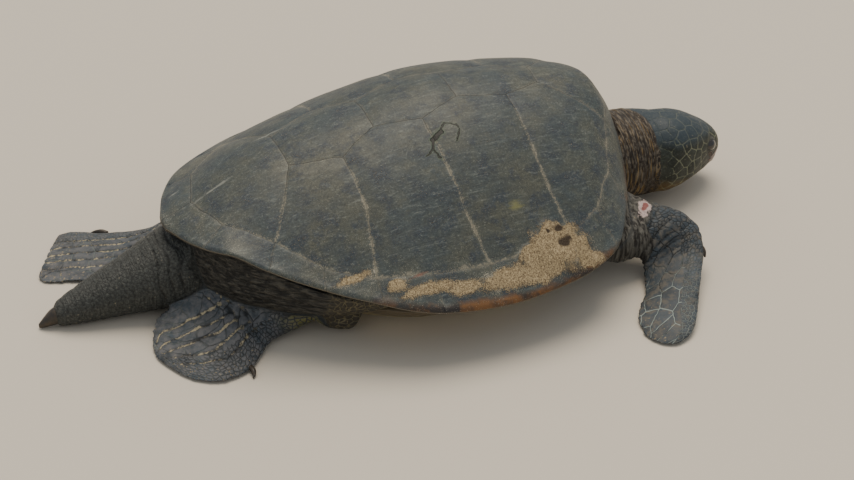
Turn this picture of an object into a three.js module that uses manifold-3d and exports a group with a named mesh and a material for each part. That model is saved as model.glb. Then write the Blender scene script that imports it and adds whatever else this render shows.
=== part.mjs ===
// Adult male green sea turtle (Chelonia mydas) at rest on a flat floor, life size, as a still museum model.
// Units are millimetres. +X points to the head, +Y to the animal's left, +Z up, and the floor is Z = 0.
// The origin is on the floor below the middle of the shell's straight length.
import * as THREE from "three";
import { mergeVertices } from "three/addons/utils/BufferGeometryUtils.js";
import Module from "manifold-3d";

const wasm = await Module();
wasm.setup();

// ---------------------------------------------------------------- driving dimensions
const SHELL_LENGTH = 900; // straight carapace length
const GAP = 0.4; // left between pieces that touch
const SLACK = 0.18; // how far a face may move when slivers are tidied away
const SEAM = 0.8; // width of the seam between two shell plates
const SHELL_THICKNESS = 15; // bone and horn together
const RIM_ABOVE = 3; // the rim's outer face, above and below the nominal rim height
const RIM_BELOW = 8;
const ARCH_POWER = 1.97; // shape of the shell's cross-section
const FLARE_POWER = 1.17; // above 1 the arch flattens towards the rim
const SHELL_ROWS = 16;
const SHELL_COLUMNS = 16;
const TRUNK_GRID = 8; // rows and columns of the coarser face that the trunk fills the shell up to
const TRUNK_DROP = 7; // and how far that face hangs below the shell
const RIM_CROWDING = 1.2; // how much the grid crowds towards the rims, as an angle
const END_CROWDING = 0.6; // and towards the ends, as a share
const PLASTRON_THICKNESS = 14;
const EYE_RADIUS = 13.5;
const SKY = 700; // above everything
const RIGHT = -1;
const LEFT = 1;

// Half widths, rim heights and ridge heights of the carapace, by share of its length from the front.
const HALF_WIDTH = [
  [0, 34], [0.03, 116], [0.08, 220], [0.16, 316], [0.28, 355], [0.42, 368],
  [0.56, 356], [0.7, 298], [0.82, 229], [0.92, 158], [0.97, 89], [1, 14],
];
const RIM_HEIGHT = [
  [0, 172], [0.08, 150], [0.16, 124], [0.25, 113], [0.4, 106], [0.5, 109], [0.6, 121],
  [0.7, 139], [0.8, 157], [0.9, 168], [1, 178],
];
// The right rear rim is turned up over the leg by this much more.
const RIGHT_RIM_LIFT = [[0, 0], [0.72, 0], [0.8, 4], [0.86, 15], [0.91, 27], [0.95, 17], [1, 2]];
const RIDGE_HEIGHT = [
  [0, 188], [0.03, 254], [0.07, 304], [0.2, 332], [0.4, 351], [0.6, 319], [0.8, 271], [0.93, 214], [1, 184],
];

// Corners of the plates seen from above, as [x, distance from the midline].
const VERTEBRAL_SEAMS = [[279, 28], [105, 44], [-58, 47], [-222, 51]];
const VERTEBRAL_CORNERS = [[202, 56], [28, 71], [-130, 84]]; // widest points of plates 2 to 4
const FIRST_VERTEBRAL_SIDE = [[385, 105], [325, 66]];
const LAST_VERTEBRAL_SIDE = [[-254, 113], [-290, 170]];
const RIM_INNER = [
  [405, 58], [385, 105], [350, 190], [297, 257], [227, 290], [150, 306], [60, 314],
  [-45, 305], [-143, 282], [-225, 235], [-290, 170], [-364, 95], [-395, 0],
];
const COSTAL_SEAMS = [
  [[202, 56], [209, 214], [227, 290]],
  [[28, 71], [44, 237], [60, 314]],
  [[-130, 84], [-123, 180], [-143, 282]],
];
const NUCHAL_EDGE = 62;
const BEYOND_RIM = 150; // how far the cutting prisms reach past the rim
const MARGINAL_GROUPS = [
  ["marginals_front", 0, 3],
  ["marginals_bridge", 3, 7],
  ["marginals_rear", 7, 11],
  ["supracaudal", 11, 12],
];

// Belly plate: x, half width of the flat underside, full half width, height of the outer edge.
const PLASTRON = [
  [372, 26, 45, 5], [350, 60, 98, 16], [290, 108, 158, 26], [215, 140, 222, 44], [150, 160, 318, 84],
  [60, 178, 334, 88], [-50, 170, 326, 90], [-125, 140, 284, 84], [-190, 104, 172, 36], [-280, 75, 122, 24],
  [-340, 38, 66, 14], [-356, 10, 26, 6],
];

// Soft mass of the trunk: x, half width, lowest, highest.
const TRUNK = [
  [418, 110, 60, 168], [395, 190, 36, 200], [340, 262, 24, 300], [220, 318, 22, 380], [0, 336, 22, 400],
  [-180, 296, 22, 360], [-300, 215, 28, 300], [-370, 140, 44, 220], [-408, 70, 66, 176],
];
// Skin that bulges between shell and thigh, and between shell and arm: centre, radii.
const FLANK_BULGE = [[-150, 196, 46], [82, 44, 42]];
const ARMPIT_BULGE = [[364, 212, 76], [60, 52, 50]];

// Neck and tail: x, y, z, half width, above, below.
const NECK = [
  [290, 5, 112, 96, 80, 94], [380, 8, 106, 94, 80, 95], [440, 12, 102, 91, 81, 96], [495, 12, 99, 87, 81, 94],
  [540, 6, 97, 81, 79, 90], [580, -2, 93, 68, 68, 82],
];
const TAIL = [
  [-290, 0, 96, 88, 70, 74], [-380, 2, 88, 84, 70, 76], [-440, 4, 80, 78, 68, 76], [-480, 5, 70, 67, 60, 68],
  [-520, 6, 59, 55, 50, 58], [-565, 7, 48, 45, 41, 48], [-605, 7, 38, 36, 32, 38], [-635, 7, 31, 28, 25, 31],
  [-655, 7, 26, 20, 18, 26], [-664, 7, 22, 6, 6, 10],
];
const TAIL_NAIL = [
  [-648, 7, 25, 17, 17, 20], [-664, 7, 21, 14, 14, 17], [-678, 7, 14, 9, 9, 12], [-690, 8, 7, 3, 3, 5],
];

// Limbs, given for the left side: leading edge, trailing edge, thickness above and below their middle.
const FRONT_FLIPPER = [
  [[330, 60, 110], [330, 200, 90], 50, 56],
  [[395, 118, 112], [345, 245, 70], 48, 54],
  [[450, 177, 104], [378, 256, 55], 42, 46],
  [[502, 209, 92], [398, 254, 38], 35, 34],
  [[526, 242, 68], [398, 258, 24], 26, 24],
  [[517, 282, 50], [390, 277, 15], 20, 20],
  [[487, 333, 38], [377, 309, 11], 17, 16],
  [[456, 384, 27], [345, 348, 8], 15, 13],
  [[428, 430, 18], [321, 387, 6], 13, 11],
  [[404, 458, 12], [317, 425, 5], 11, 9],
  [[382, 470, 8], [328, 453, 5], 8, 8],
  [[362, 474, 6], [342, 467, 5], 4, 5],
];
// Claws on the leading edges, as barrels along their own short stations.
const FRONT_CLAW = [[502, 260, 54, 5], [511, 271, 50, 6], [514, 281, 45, 4.5], [512, 291, 39, 1.5]];
const HIND_CLAW_RIGHT = [[-372, 250, 9, 4], [-371, 261, 8, 5], [-372, 269, 5.5, 3.5], [-376, 276, 3, 1.2]];
const HIND_CLAW_LEFT = [[-496, 238, 12, 4], [-504, 247, 11, 5], [-514, 255, 8.5, 3.5], [-524, 260, 5, 1.2]];
const HIND_FLIPPER_RIGHT = [
  [[-150, 210, 84], [-190, 90, 96], 52, 56],
  [[-216, 195, 40], [-262, 120, 98], 46, 50],
  [[-253, 189, 22], [-302, 122, 94], 36, 42],
  [[-289, 189, 12], [-340, 108, 86], 27, 34],
  [[-319, 201, 9], [-374, 94, 76], 20, 25],
  [[-341, 227, 7], [-406, 80, 66], 16, 20],
  [[-378, 263, 6], [-432, 70, 52], 13, 16],
  [[-426, 274, 6], [-466, 62, 36], 11, 13],
  [[-474, 251, 5], [-494, 66, 20], 9, 10],
  [[-502, 212, 5], [-515, 104, 9], 7, 7],
  [[-517, 177, 4], [-525, 143, 6], 4, 4],
];
const HIND_FLIPPER_LEFT = [
  [[-190, 220, 84], [-220, 90, 90], 50, 54],
  [[-270, 205, 74], [-300, 80, 84], 44, 48],
  [[-340, 196, 56], [-370, 70, 68], 34, 40],
  [[-400, 190, 38], [-430, 62, 50], 26, 32],
  [[-440, 210, 23], [-480, 72, 30], 20, 24],
  [[-473, 231, 15], [-522, 87, 15], 17, 17],
  [[-504, 247, 11], [-559, 100, 9], 14, 14],
  [[-532, 268, 8], [-600, 114, 6], 12, 11],
  [[-562, 283, 6], [-635, 126, 5], 10, 9],
  [[-582, 283, 5], [-656, 138, 5], 8, 7],
  [[-593, 270, 5], [-662, 154, 5], 5, 5],
];
// Where each limb parts into two, and the way it runs there.
const ELBOW = [[455, 262, 42], [-0.1, 0.98, -0.15]];
const KNEE_RIGHT = [[-308, 150, 48], [-0.95, 0.1, -0.28]];
const KNEE_LEFT = [[-400, 140, 44], [-0.96, 0.15, -0.2]];
const THINNING = 0.5; // how much thinner a limb's trailing edge is than its middle

// Head: distance behind the beak's tip, half width, height above and depth below the axis.
const BEAK_TIP = [693, 21, 79];
const HEAD_YAW = 12;
const HEAD_DROOP = 10;
const HEAD = [
  [0, 13, 6, 32], [4, 22, 14, 43], [14, 33, 27, 54], [32, 44, 40, 60], [58, 55, 53, 66],
  [88, 66, 65, 73], [118, 72, 71, 83], [148, 73, 72, 88], [180, 58, 54, 72],
];
const EYE = [50, 42, 12]; // behind the beak's tip, from the midline, above the axis
const NAPE = 150; // where head and neck part
const BEAK_BACK = 44; // the beak's rear edge
const BEAK_TOP = 4; // its upper edge, the line of the mouth and its lower edge, about the axis
const MOUTH = -17;
const BEAK_BOTTOM = -48;

// ---------------------------------------------------------------- small tools
const vec = (x, y, z) => new THREE.Vector3(x, y, z);
const mix = (a, b, t) => a + (b - a) * t;
const radians = THREE.MathUtils.degToRad;

/** A smooth curve through [position, value] pairs that never overshoots them. */
function through(pairs) {
  const last = pairs.length - 1;
  const slope = pairs.slice(1).map(([x, y], i) => (y - pairs[i][1]) / (x - pairs[i][0]));
  const tangent = pairs.map((_, i) => {
    if (i === 0) return slope[0];
    if (i === last) return slope[last - 1];
    const [a, b] = [slope[i - 1], slope[i]];
    return a * b <= 0 ? 0 : (2 * a * b) / (a + b);
  });
  return (x) => {
    let i = 0;
    while (i < last - 1 && x > pairs[i + 1][0]) i++;
    const width = pairs[i + 1][0] - pairs[i][0];
    const t = THREE.MathUtils.clamp((x - pairs[i][0]) / width, 0, 1);
    const [t2, t3] = [t * t, t * t * t];
    return (
      (2 * t3 - 3 * t2 + 1) * pairs[i][1] +
      (t3 - 2 * t2 + t) * width * tangent[i] +
      (3 * t2 - 2 * t3) * pairs[i + 1][1] +
      (t3 - t2) * width * tangent[i + 1]
    );
  };
}

/** A closed manifold-3d solid from a three.js geometry, with its faces turned outwards. */
function solidOf(geometry) {
  const bare = geometry.index ? geometry.toNonIndexed() : geometry.clone();
  bare.deleteAttribute("normal");
  bare.deleteAttribute("uv");
  const merged = mergeVertices(bare, 1e-3);
  const faces = new Uint32Array(merged.index.array);
  const build = () =>
    new wasm.Manifold(
      new wasm.Mesh({
        numProp: 3,
        vertProperties: merged.attributes.position.array,
        triVerts: faces,
      }),
    );
  const solid = build();
  if (solid.volume() > 0) return solid;
  for (let i = 0; i < faces.length; i += 3) {
    [faces[i + 1], faces[i + 2]] = [faces[i + 2], faces[i + 1]];
  }
  return build();
}

/** A named mesh from a solid. */
function meshOf(name, solid, material) {
  const made = solid.simplify(SLACK).getMesh();
  const positions = new Float32Array(made.numVert * 3);
  for (let i = 0; i < made.numVert; i++) {
    positions.set(made.vertProperties.subarray(i * made.numProp, i * made.numProp + 3), i * 3);
  }
  const geometry = new THREE.BufferGeometry();
  geometry.setAttribute("position", new THREE.BufferAttribute(positions, 3));
  geometry.setIndex(new THREE.BufferAttribute(new Uint32Array(made.triVerts), 1));
  geometry.computeVertexNormals();
  const mesh = new THREE.Mesh(geometry, material);
  mesh.name = name;
  return mesh;
}

/** A solid skinned over rings of points, all of one count, with a fan over each end. */
function loft(rings) {
  const count = rings[0].length;
  const positions = rings.flat().flatMap((p) => [p.x, p.y, p.z]);
  const faces = [];
  for (let r = 0; r < rings.length - 1; r++) {
    for (let k = 0; k < count; k++) {
      const a = r * count + k;
      const b = r * count + ((k + 1) % count);
      faces.push(a, b, b + count, a, b + count, a + count);
    }
  }
  const close = (start, ring, flipped) => {
    const centre = ring.reduce((sum, p) => sum.add(p), vec(0, 0, 0)).divideScalar(count);
    const middle = positions.length / 3;
    positions.push(centre.x, centre.y, centre.z);
    for (let k = 0; k < count; k++) {
      const [a, b] = [start + k, start + ((k + 1) % count)];
      faces.push(...(flipped ? [middle, a, b] : [middle, b, a]));
    }
  };
  close(0, rings[0], false);
  close((rings.length - 1) * count, rings.at(-1), true);
  const geometry = new THREE.BufferGeometry();
  geometry.setAttribute("position", new THREE.BufferAttribute(new Float32Array(positions), 3));
  geometry.setIndex(faces);
  return solidOf(geometry);
}

/** Points round a closed section: place(cosine, sine) gives each one. */
function round(sides, place, squareness = 1) {
  const square = (v) => Math.sign(v) * Math.abs(v) ** squareness;
  return Array.from({ length: sides }, (_, k) => {
    const angle = (2 * Math.PI * k) / sides;
    return place(square(Math.cos(angle)), square(Math.sin(angle)));
  });
}

/** An upright prism over an outline of [x, y] points. */
function prism(outline) {
  const shape = new THREE.Shape(outline.map(([x, y]) => new THREE.Vector2(x, y)));
  return solidOf(new THREE.ExtrudeGeometry(shape, { depth: SKY, bevelEnabled: false }));
}

/** An outline moved inwards by a distance, with mitred corners. */
function inset(outline, distance) {
  const points = outline.map(([x, y]) => new THREE.Vector2(x, y));
  const turn = THREE.ShapeUtils.area(points) > 0 ? 1 : -1;
  return points.map((p, i) => {
    const into = p.clone().sub(points.at(i - 1)).normalize();
    const onward = points[(i + 1) % points.length].clone().sub(p).normalize();
    const across = vec(-into.y - onward.y, into.x + onward.x, 0).multiplyScalar(turn);
    const reach = distance / Math.max(0.5, across.lengthSq() / 2);
    return [p.x + across.x * reach, p.y + across.y * reach];
  });
}

/** A rounded bulge, its poles up and down. */
function ellipsoid([x, y, z], [a, b, c], side = LEFT, segments = 10) {
  const ball = new THREE.SphereGeometry(1, segments, Math.round(segments * 0.6));
  return solidOf(ball.scale(a, b, c).translate(x, y * side, z));
}

/** The biggest body of a solid, without the crumbs that a cut leaves. */
const biggest = (solid) => solid.decompose().sort((a, b) => b.volume() - a.volume())[0];

/** A solid parted by a thin cut at a point, square to a direction: the part beyond it and the part before it. */
function parted(solid, at, along) {
  const normal = along.clone().normalize();
  const offset = normal.dot(at);
  return [
    solid.trimByPlane(normal.toArray(), offset + GAP / 2),
    solid.trimByPlane(normal.negate().toArray(), GAP / 2 - offset),
  ].map(biggest);
}

// ---------------------------------------------------------------- materials
const surface = (color, roughness) => new THREE.MeshStandardMaterial({ color, roughness, metalness: 0 });
const plateHorn = surface(0x4c5450, 0.5);
const rimHorn = surface(0x6b5234, 0.5);
const plastronHorn = surface(0xb9a878, 0.55);
const darkSkin = surface(0x3b4043, 0.6);
const neckSkin = surface(0x4b4236, 0.7);
const beakHorn = surface(0x5a5850, 0.4);
const clawHorn = surface(0x24231f, 0.4);
const wetEye = surface(0x0d0b0a, 0.1);

// ---------------------------------------------------------------- carapace
const halfWidth = through(HALF_WIDTH);
const rimHeight = through(RIM_HEIGHT);
const ridgeHeight = through(RIDGE_HEIGHT);
const rightRimLift = through(RIGHT_RIM_LIFT);

/** Height of the carapace's outer face at a share of its length and of its half width. */
function shellHeight(u, s) {
  const rim = rimHeight(u) + (s < 0 ? rightRimLift(u) : 0);
  return rim + (ridgeHeight(u) - rim) * (1 - Math.abs(s) ** ARCH_POWER) ** FLARE_POWER;
}

/** Spreads steps from -1 to 1 so that they crowd a little towards the rims. */
const crowded = (t) => Math.sin(RIM_CROWDING * t) / Math.sin(RIM_CROWDING);

/** The carapace's stations from front to back, each crossed from right to left by place(x, y, z, edge). */
function shellStations(place, rows = SHELL_ROWS, columns = SHELL_COLUMNS) {
  return Array.from({ length: rows + 1 }, (_, i) => {
    const t = i / rows;
    const u = mix(t, (1 - Math.cos(Math.PI * t)) / 2, END_CROWDING);
    return Array.from({ length: columns + 1 }, (_, k) => {
      const s = crowded(mix(-1, 1, k / columns));
      return place(SHELL_LENGTH * (0.5 - u), s * halfWidth(u), shellHeight(u, s), Math.abs(s) ** 8);
    });
  });
}

const innerFace = (z, edge) => z - mix(SHELL_THICKNESS, RIM_BELOW, edge);

/** The whole carapace as one bowl of horn-covered bone. */
function carapaceBowl() {
  const outer = shellStations((x, y, z, edge) => vec(x, y, z + RIM_ABOVE * edge));
  const inner = shellStations((x, y, z, edge) => vec(x, y, innerFace(z, edge)));
  return loft(outer.map((row, i) => [...row, ...inner[i].reverse()]));
}

/** Everything above the carapace's inner face, a little larger all round, to keep flesh out of the shell. */
function shellSpace(drop, rows = SHELL_ROWS, columns = SHELL_COLUMNS) {
  const stretch = 1 + (2 * GAP) / SHELL_LENGTH;
  const face = (x, y, z, edge) => vec(x, y, innerFace(z, edge) - drop);
  const rings = shellStations(face, rows, columns).map((row) => {
    const past = (p, z) => vec(p.x * stretch, p.y + Math.sign(p.y) * GAP, z);
    const [right, left] = [row[0], row.at(-1)];
    return [past(left, SKY), past(left, left.z), ...row.reverse(), past(right, right.z), past(right, SKY)];
  });
  const moved = (ring, by) => ring.map((p) => vec(p.x + by, p.y, p.z));
  return loft([moved(rings[0], 2 * GAP), ...rings, moved(rings.at(-1), -2 * GAP)]);
}

const mirrored = (points) => points.map(([x, y]) => [x, -y]);
const bothSides = (points) => [...points, ...mirrored(points.filter(([, y]) => y !== 0)).reverse()];

/** The point outside the rim that faces an inner corner. */
function pastRim([x, y]) {
  const middle = THREE.MathUtils.clamp(x, -170, 200);
  const away = new THREE.Vector2(x - middle, y).setLength(BEYOND_RIM);
  return [x + away.x, y + away.y];
}

/** Plan outlines of the plates on the midline: [name, outline, material]. */
function middlePlates() {
  const [front] = RIM_INNER;
  const seams = VERTEBRAL_SEAMS;
  return [
    ["nuchal", bothSides([[front[0] + BEYOND_RIM, NUCHAL_EDGE], front]), plateHorn],
    ["vertebral_1", bothSides([front, ...FIRST_VERTEBRAL_SIDE, seams[0]]), plateHorn],
    ...VERTEBRAL_CORNERS.map((corner, i) => [
      `vertebral_${i + 2}`,
      bothSides([seams[i], corner, seams[i + 1]]),
      plateHorn,
    ]),
    ["vertebral_5", bothSides([seams[3], ...LAST_VERTEBRAL_SIDE, ...RIM_INNER.slice(11)]), plateHorn],
  ];
}

/** Plan outlines of the plates on one side. */
function sidePlates(word, side) {
  const place = (points) => (side === LEFT ? points : mirrored(points));
  const seams = VERTEBRAL_SEAMS;
  const back = (points) => [...points].reverse();
  const costals = [
    [FIRST_VERTEBRAL_SIDE[1], seams[0], ...COSTAL_SEAMS[0], ...back(RIM_INNER.slice(1, 4))],
    [seams[1], ...COSTAL_SEAMS[1], RIM_INNER[5], ...back(COSTAL_SEAMS[0])],
    [seams[2], ...COSTAL_SEAMS[2], RIM_INNER[7], ...back(COSTAL_SEAMS[1])],
    [seams[3], ...LAST_VERTEBRAL_SIDE, RIM_INNER[9], ...back(COSTAL_SEAMS[2])],
  ];
  const marginals = MARGINAL_GROUPS.map(([name, from, to]) => {
    const inner = RIM_INNER.slice(from, to + 1);
    const outer = inner.map(pastRim);
    if (from === 0) outer[0] = [inner[0][0] + BEYOND_RIM, NUCHAL_EDGE];
    return [`${name}_${word}`, place([...inner, ...outer.reverse()]), rimHorn];
  });
  return [
    ...costals.map((outline, i) => [`costal_${word}_${i + 1}`, place(outline), plateHorn]),
    ...marginals,
  ];
}

/** The belly plate, flat below and turned up at the bridges, grown by a margin for cutting. */
function plastronTray(grow = 0) {
  const rings = PLASTRON.map(([x, flat, wide, edge], i) => {
    const reach = i === 0 ? grow : i === PLASTRON.length - 1 ? -grow : 0;
    const half = [0, 0.35, 0.7, 1].map((t) => [mix(flat, wide + grow, t), edge * t ** 1.6]);
    const under = half.map(([y, z]) => vec(x + reach, y, z - grow));
    const over = half.map(([y, z]) => vec(x + reach, y, z + PLASTRON_THICKNESS + grow)).reverse();
    const left = [...under, ...over];
    return [...left, ...left.map((p) => vec(p.x, -p.y, p.z)).reverse()];
  });
  return loft(rings);
}

// ---------------------------------------------------------------- flesh
/** A round body part along stations of x, y, z, half width, above and below, all grown by a margin. */
function barrel(stations, sides, grow = 0) {
  return loft(
    stations.map(([x, y, z, wide, above, below], i) => {
      const reach = i === 0 ? Math.sign(x) * -grow : i === stations.length - 1 ? Math.sign(x) * grow : 0;
      return round(sides, (c, h) =>
        vec(x + reach, y + (wide + grow) * c, z + ((h > 0 ? above : below) + grow) * h),
      );
    }),
  );
}

/** The soft mass of the trunk, squarer than a barrel, with its four bulges. */
function trunkMass(grow = 0) {
  const body = loft(
    TRUNK.map(([x, wide, low, high], i) => {
      const reach = i === 0 ? grow : i === TRUNK.length - 1 ? -grow : 0;
      const [middle, tall] = [(low + high) / 2, (high - low) / 2 + grow];
      return round(14, (c, h) => vec(x + reach, (wide + grow) * c, middle + tall * h), 0.7);
    }),
  );
  const bulges = [FLANK_BULGE, ARMPIT_BULGE].flatMap(([at, radii]) =>
    [LEFT, RIGHT].map((side) => ellipsoid(at, radii.map((r) => r + grow), side)),
  );
  return bulges.reduce((all, bulge) => all.add(bulge), body);
}

/** A limb between its leading and trailing edges, thinned towards the trailing one. */
function limb(stations, side, thinning, sides = 12) {
  const edges = stations.map(([lead, trail]) => [vec(...lead), vec(...trail)]);
  const middles = edges.map(([lead, trail]) => lead.clone().lerp(trail, 0.5));
  const rings = stations.map(([, , above, below], i) => {
    const chord = edges[i][0].clone().sub(middles[i]);
    const along = middles[Math.min(i + 1, middles.length - 1)].clone().sub(middles[Math.max(i - 1, 0)]);
    const top = chord.clone().cross(along).normalize();
    if (top.z < 0) top.negate();
    return round(sides, (c, h) => {
      const thin = 1 - thinning * ((1 - c) / 2);
      const p = middles[i].clone().addScaledVector(chord, c);
      p.addScaledVector(top, (h > 0 ? above : below) * h * thin);
      return vec(p.x, p.y * side, p.z);
    });
  });
  return loft(rings);
}

/** A claw along stations of x, y, z and radius, with rings square to its run. */
function claw(stations, side, grow = 0) {
  const path = stations.map(([x, y, z]) => vec(x, y, z));
  return loft(
    stations.map(([, , , radius], i) => {
      const along = path[Math.min(i + 1, path.length - 1)].clone().sub(path[Math.max(i - 1, 0)]);
      const across = along.clone().cross(vec(0, 0, 1)).normalize();
      const up = across.clone().cross(along).normalize();
      const reach = along.setLength(i === 0 ? -grow : i === path.length - 1 ? grow : 0);
      return round(6, (c, h) => {
        const p = path[i].clone().add(reach).addScaledVector(across, (radius + grow) * c);
        p.addScaledVector(up, (radius + grow) * h);
        return vec(p.x, p.y * side, p.z);
      });
    }),
  );
}

const headFrame = new THREE.Matrix4()
  .makeTranslation(...BEAK_TIP)
  .multiply(new THREE.Matrix4().makeRotationZ(radians(HEAD_YAW)))
  .multiply(new THREE.Matrix4().makeRotationY(radians(HEAD_DROOP)));

/** A point of the head: distance behind the beak, to the left, and up. */
const headPoint = (back, left, up) => vec(-back, left, up).applyMatrix4(headFrame);

/** Skull and jaw as one rounded form. */
function skull() {
  return loft(
    HEAD.map(([back, wide, above, below]) =>
      round(14, (c, h) => headPoint(back, wide * c, (h > 0 ? above : below) * h), 0.86),
    ),
  );
}

/** A box across the head's front, between two heights. */
function muzzleBox(top, bottom, grow = 0) {
  const geometry = new THREE.BoxGeometry(2 * BEAK_BACK + 2 * grow, 200, top - bottom + 2 * grow);
  return solidOf(geometry.translate(0, 0, (top + bottom) / 2).applyMatrix4(headFrame));
}

/** An eyeball in its place. */
function eyeball(side, grow = 0) {
  const radius = EYE_RADIUS + grow;
  return ellipsoid(headPoint(EYE[0], EYE[1] * side, EYE[2]).toArray(), [radius, radius, radius], LEFT, 12);
}

// ---------------------------------------------------------------- assembly
const turtle = new THREE.Group();
turtle.name = "sea_turtle";
const add = (name, solid, material) => turtle.add(meshOf(name, solid, material));

const bowl = carapaceBowl();
const plates = [...middlePlates(), ...sidePlates("left", LEFT), ...sidePlates("right", RIGHT)];
for (const [name, outline, material] of plates) {
  add(name, bowl.intersect(prism(inset(outline, SEAM / 2))), material);
}

const shell = shellSpace(2 * GAP);
add("plastron", biggest(plastronTray().subtract(shell)), plastronHorn);

// Flesh stays above the floor and clear of the shell.
const aboveFloor = solidOf(new THREE.BoxGeometry(3000, 3000, SKY).translate(0, 0, SKY / 2));
const clear = (solid, space = shell) =>
  solid.intersect(aboveFloor).subtract(space).subtract(plastronTray(GAP));
const trunkRoom = trunkMass(GAP);
const trunkCeiling = shellSpace(TRUNK_DROP, TRUNK_GRID, TRUNK_GRID);
add("trunk", biggest(clear(trunkMass(), trunkCeiling)), darkSkin);

const [headMass, neckMass] = parted(
  barrel(NECK, 14).add(skull()),
  headPoint(NAPE, 0, 0),
  headPoint(0, 0, 0).sub(headPoint(1, 0, 0)),
);
const upperBox = muzzleBox(BEAK_TOP, MOUTH);
const lowerBox = muzzleBox(MOUTH - GAP, BEAK_BOTTOM);
const beakRoom = muzzleBox(BEAK_TOP, BEAK_BOTTOM, GAP);
const head = headMass.subtract(eyeball(LEFT, GAP)).subtract(eyeball(RIGHT, GAP));
add("head", biggest(head.subtract(beakRoom)), darkSkin);
add("upper_beak", biggest(head.intersect(upperBox)), beakHorn);
add("lower_beak", biggest(head.intersect(lowerBox)), beakHorn);
add("eye_left", eyeball(LEFT), wetEye);
add("eye_right", eyeball(RIGHT), wetEye);
add("neck", biggest(clear(neckMass).subtract(trunkRoom)), neckSkin);

const nailRoom = barrel(TAIL_NAIL, 10, GAP);
const tailRoom = barrel(TAIL, 12, GAP);
add("tail", biggest(clear(barrel(TAIL, 12)).subtract(trunkRoom).subtract(nailRoom)), darkSkin);
add("tail_nail", barrel(TAIL_NAIL, 10).intersect(aboveFloor), clawHorn);

const neckRoom = barrel(NECK, 14, GAP);
const limbs = [
  ["right", RIGHT, FRONT_FLIPPER, ["upper_arm", "front_flipper"], ELBOW, FRONT_CLAW, "front_claw"],
  ["left", LEFT, FRONT_FLIPPER, ["upper_arm", "front_flipper"], ELBOW, FRONT_CLAW, "front_claw"],
  ["right", RIGHT, HIND_FLIPPER_RIGHT, ["thigh", "hind_flipper"], KNEE_RIGHT, HIND_CLAW_RIGHT, "hind_claw"],
  ["left", LEFT, HIND_FLIPPER_LEFT, ["thigh", "hind_flipper"], KNEE_LEFT, HIND_CLAW_LEFT, "hind_claw"],
];
for (const [word, side, stations, [near, far], [at, along], clawStations, clawName] of limbs) {
  const room = [trunkRoom, neckRoom, tailRoom, claw(clawStations, side, GAP)];
  const whole = room.reduce((rest, taken) => rest.subtract(taken), clear(limb(stations, side, THINNING)));
  const turned = ([x, y, z]) => vec(x, y * side, z);
  const [beyond, before] = parted(whole, turned(at), turned(along));
  add(`${near}_${word}`, before, darkSkin);
  add(`${far}_${word}`, beyond, darkSkin);
  add(`${clawName}_${word}`, claw(clawStations, side).intersect(aboveFloor), clawHorn);
}

export default turtle;
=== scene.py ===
"""Adult male green sea turtle (Chelonia mydas) at rest on its belly, as a still museum model.

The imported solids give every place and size. One skin is drawn over all the soft parts, and each horn plate,
claw, nail, eye and half of the beak is a piece of its own. Sizes below are millimetres unless a name says
otherwise.
"""

import logging
import math
from collections.abc import Iterable, Sequence
from dataclasses import dataclass
from enum import Enum

import bmesh
import bpy
import numpy as np
from mathutils import Matrix, Vector, noise
from mathutils.bvhtree import BVHTree
from mathutils.kdtree import KDTree

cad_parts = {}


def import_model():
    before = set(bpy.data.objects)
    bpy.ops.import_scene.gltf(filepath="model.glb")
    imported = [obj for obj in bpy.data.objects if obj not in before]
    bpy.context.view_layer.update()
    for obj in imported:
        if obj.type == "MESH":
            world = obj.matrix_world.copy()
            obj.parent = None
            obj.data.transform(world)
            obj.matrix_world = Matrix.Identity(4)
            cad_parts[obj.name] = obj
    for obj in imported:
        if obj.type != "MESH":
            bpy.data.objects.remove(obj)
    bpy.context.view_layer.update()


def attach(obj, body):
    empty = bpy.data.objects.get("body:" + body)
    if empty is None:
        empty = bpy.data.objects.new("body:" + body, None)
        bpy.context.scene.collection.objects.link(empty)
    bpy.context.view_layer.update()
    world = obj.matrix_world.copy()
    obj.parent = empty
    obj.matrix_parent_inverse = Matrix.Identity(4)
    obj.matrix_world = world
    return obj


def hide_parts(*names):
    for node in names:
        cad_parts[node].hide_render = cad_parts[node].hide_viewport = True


log = logging.getLogger("turtle")

MM = 0.001
BODY = "root"
LIMB_NODES = ("upper_arm", "front_flipper", "thigh", "hind_flipper")
Rows = tuple[tuple[float, ...], ...]
Outline = list[tuple[float, float]]
Socket = bpy.types.NodeSocket
Sockets = bpy.types.bpy_prop_collection


class Side(Enum):
    """The two sides of the animal, valued by the sign of Y."""

    LEFT = 1
    RIGHT = -1

    @property
    def word(self) -> str:
        """The side as it stands in the names of nodes and pieces."""
        return self.name.lower()


# ---------------------------------------------------------------- curves and meshes
@dataclass(frozen=True)
class Curve:
    """A smooth curve through pairs of place and value that never overshoots them."""

    pairs: tuple[tuple[float, float], ...]

    def __call__(self, at: np.ndarray | float) -> np.ndarray:
        """Reads the curve.

        Args:
            at: Places along the curve.

        Returns:
            The value at each place.
        """
        x, y = np.array(self.pairs, float).T
        slope = np.diff(y) / np.diff(x)
        before, after = slope[:-1], slope[1:]
        total = np.where(np.abs(before + after) < 1e-12, 1.0, before + after)
        inner = np.where(before * after <= 0, 0.0, 2 * before * after / total)
        tangent = np.concatenate(([slope[0]], inner, [slope[-1]]))
        at = np.clip(np.asarray(at, float), x[0], x[-1])
        i = np.clip(np.searchsorted(x, at) - 1, 0, len(slope) - 1)
        width = x[i + 1] - x[i]
        t = (at - x[i]) / width
        return (
            (2 * t**3 - 3 * t**2 + 1) * y[i]
            + (t**3 - 2 * t**2 + t) * width * tangent[i]
            + (3 * t**2 - 2 * t**3) * y[i + 1]
            + (t**3 - t**2) * width * tangent[i + 1]
        )


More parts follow.
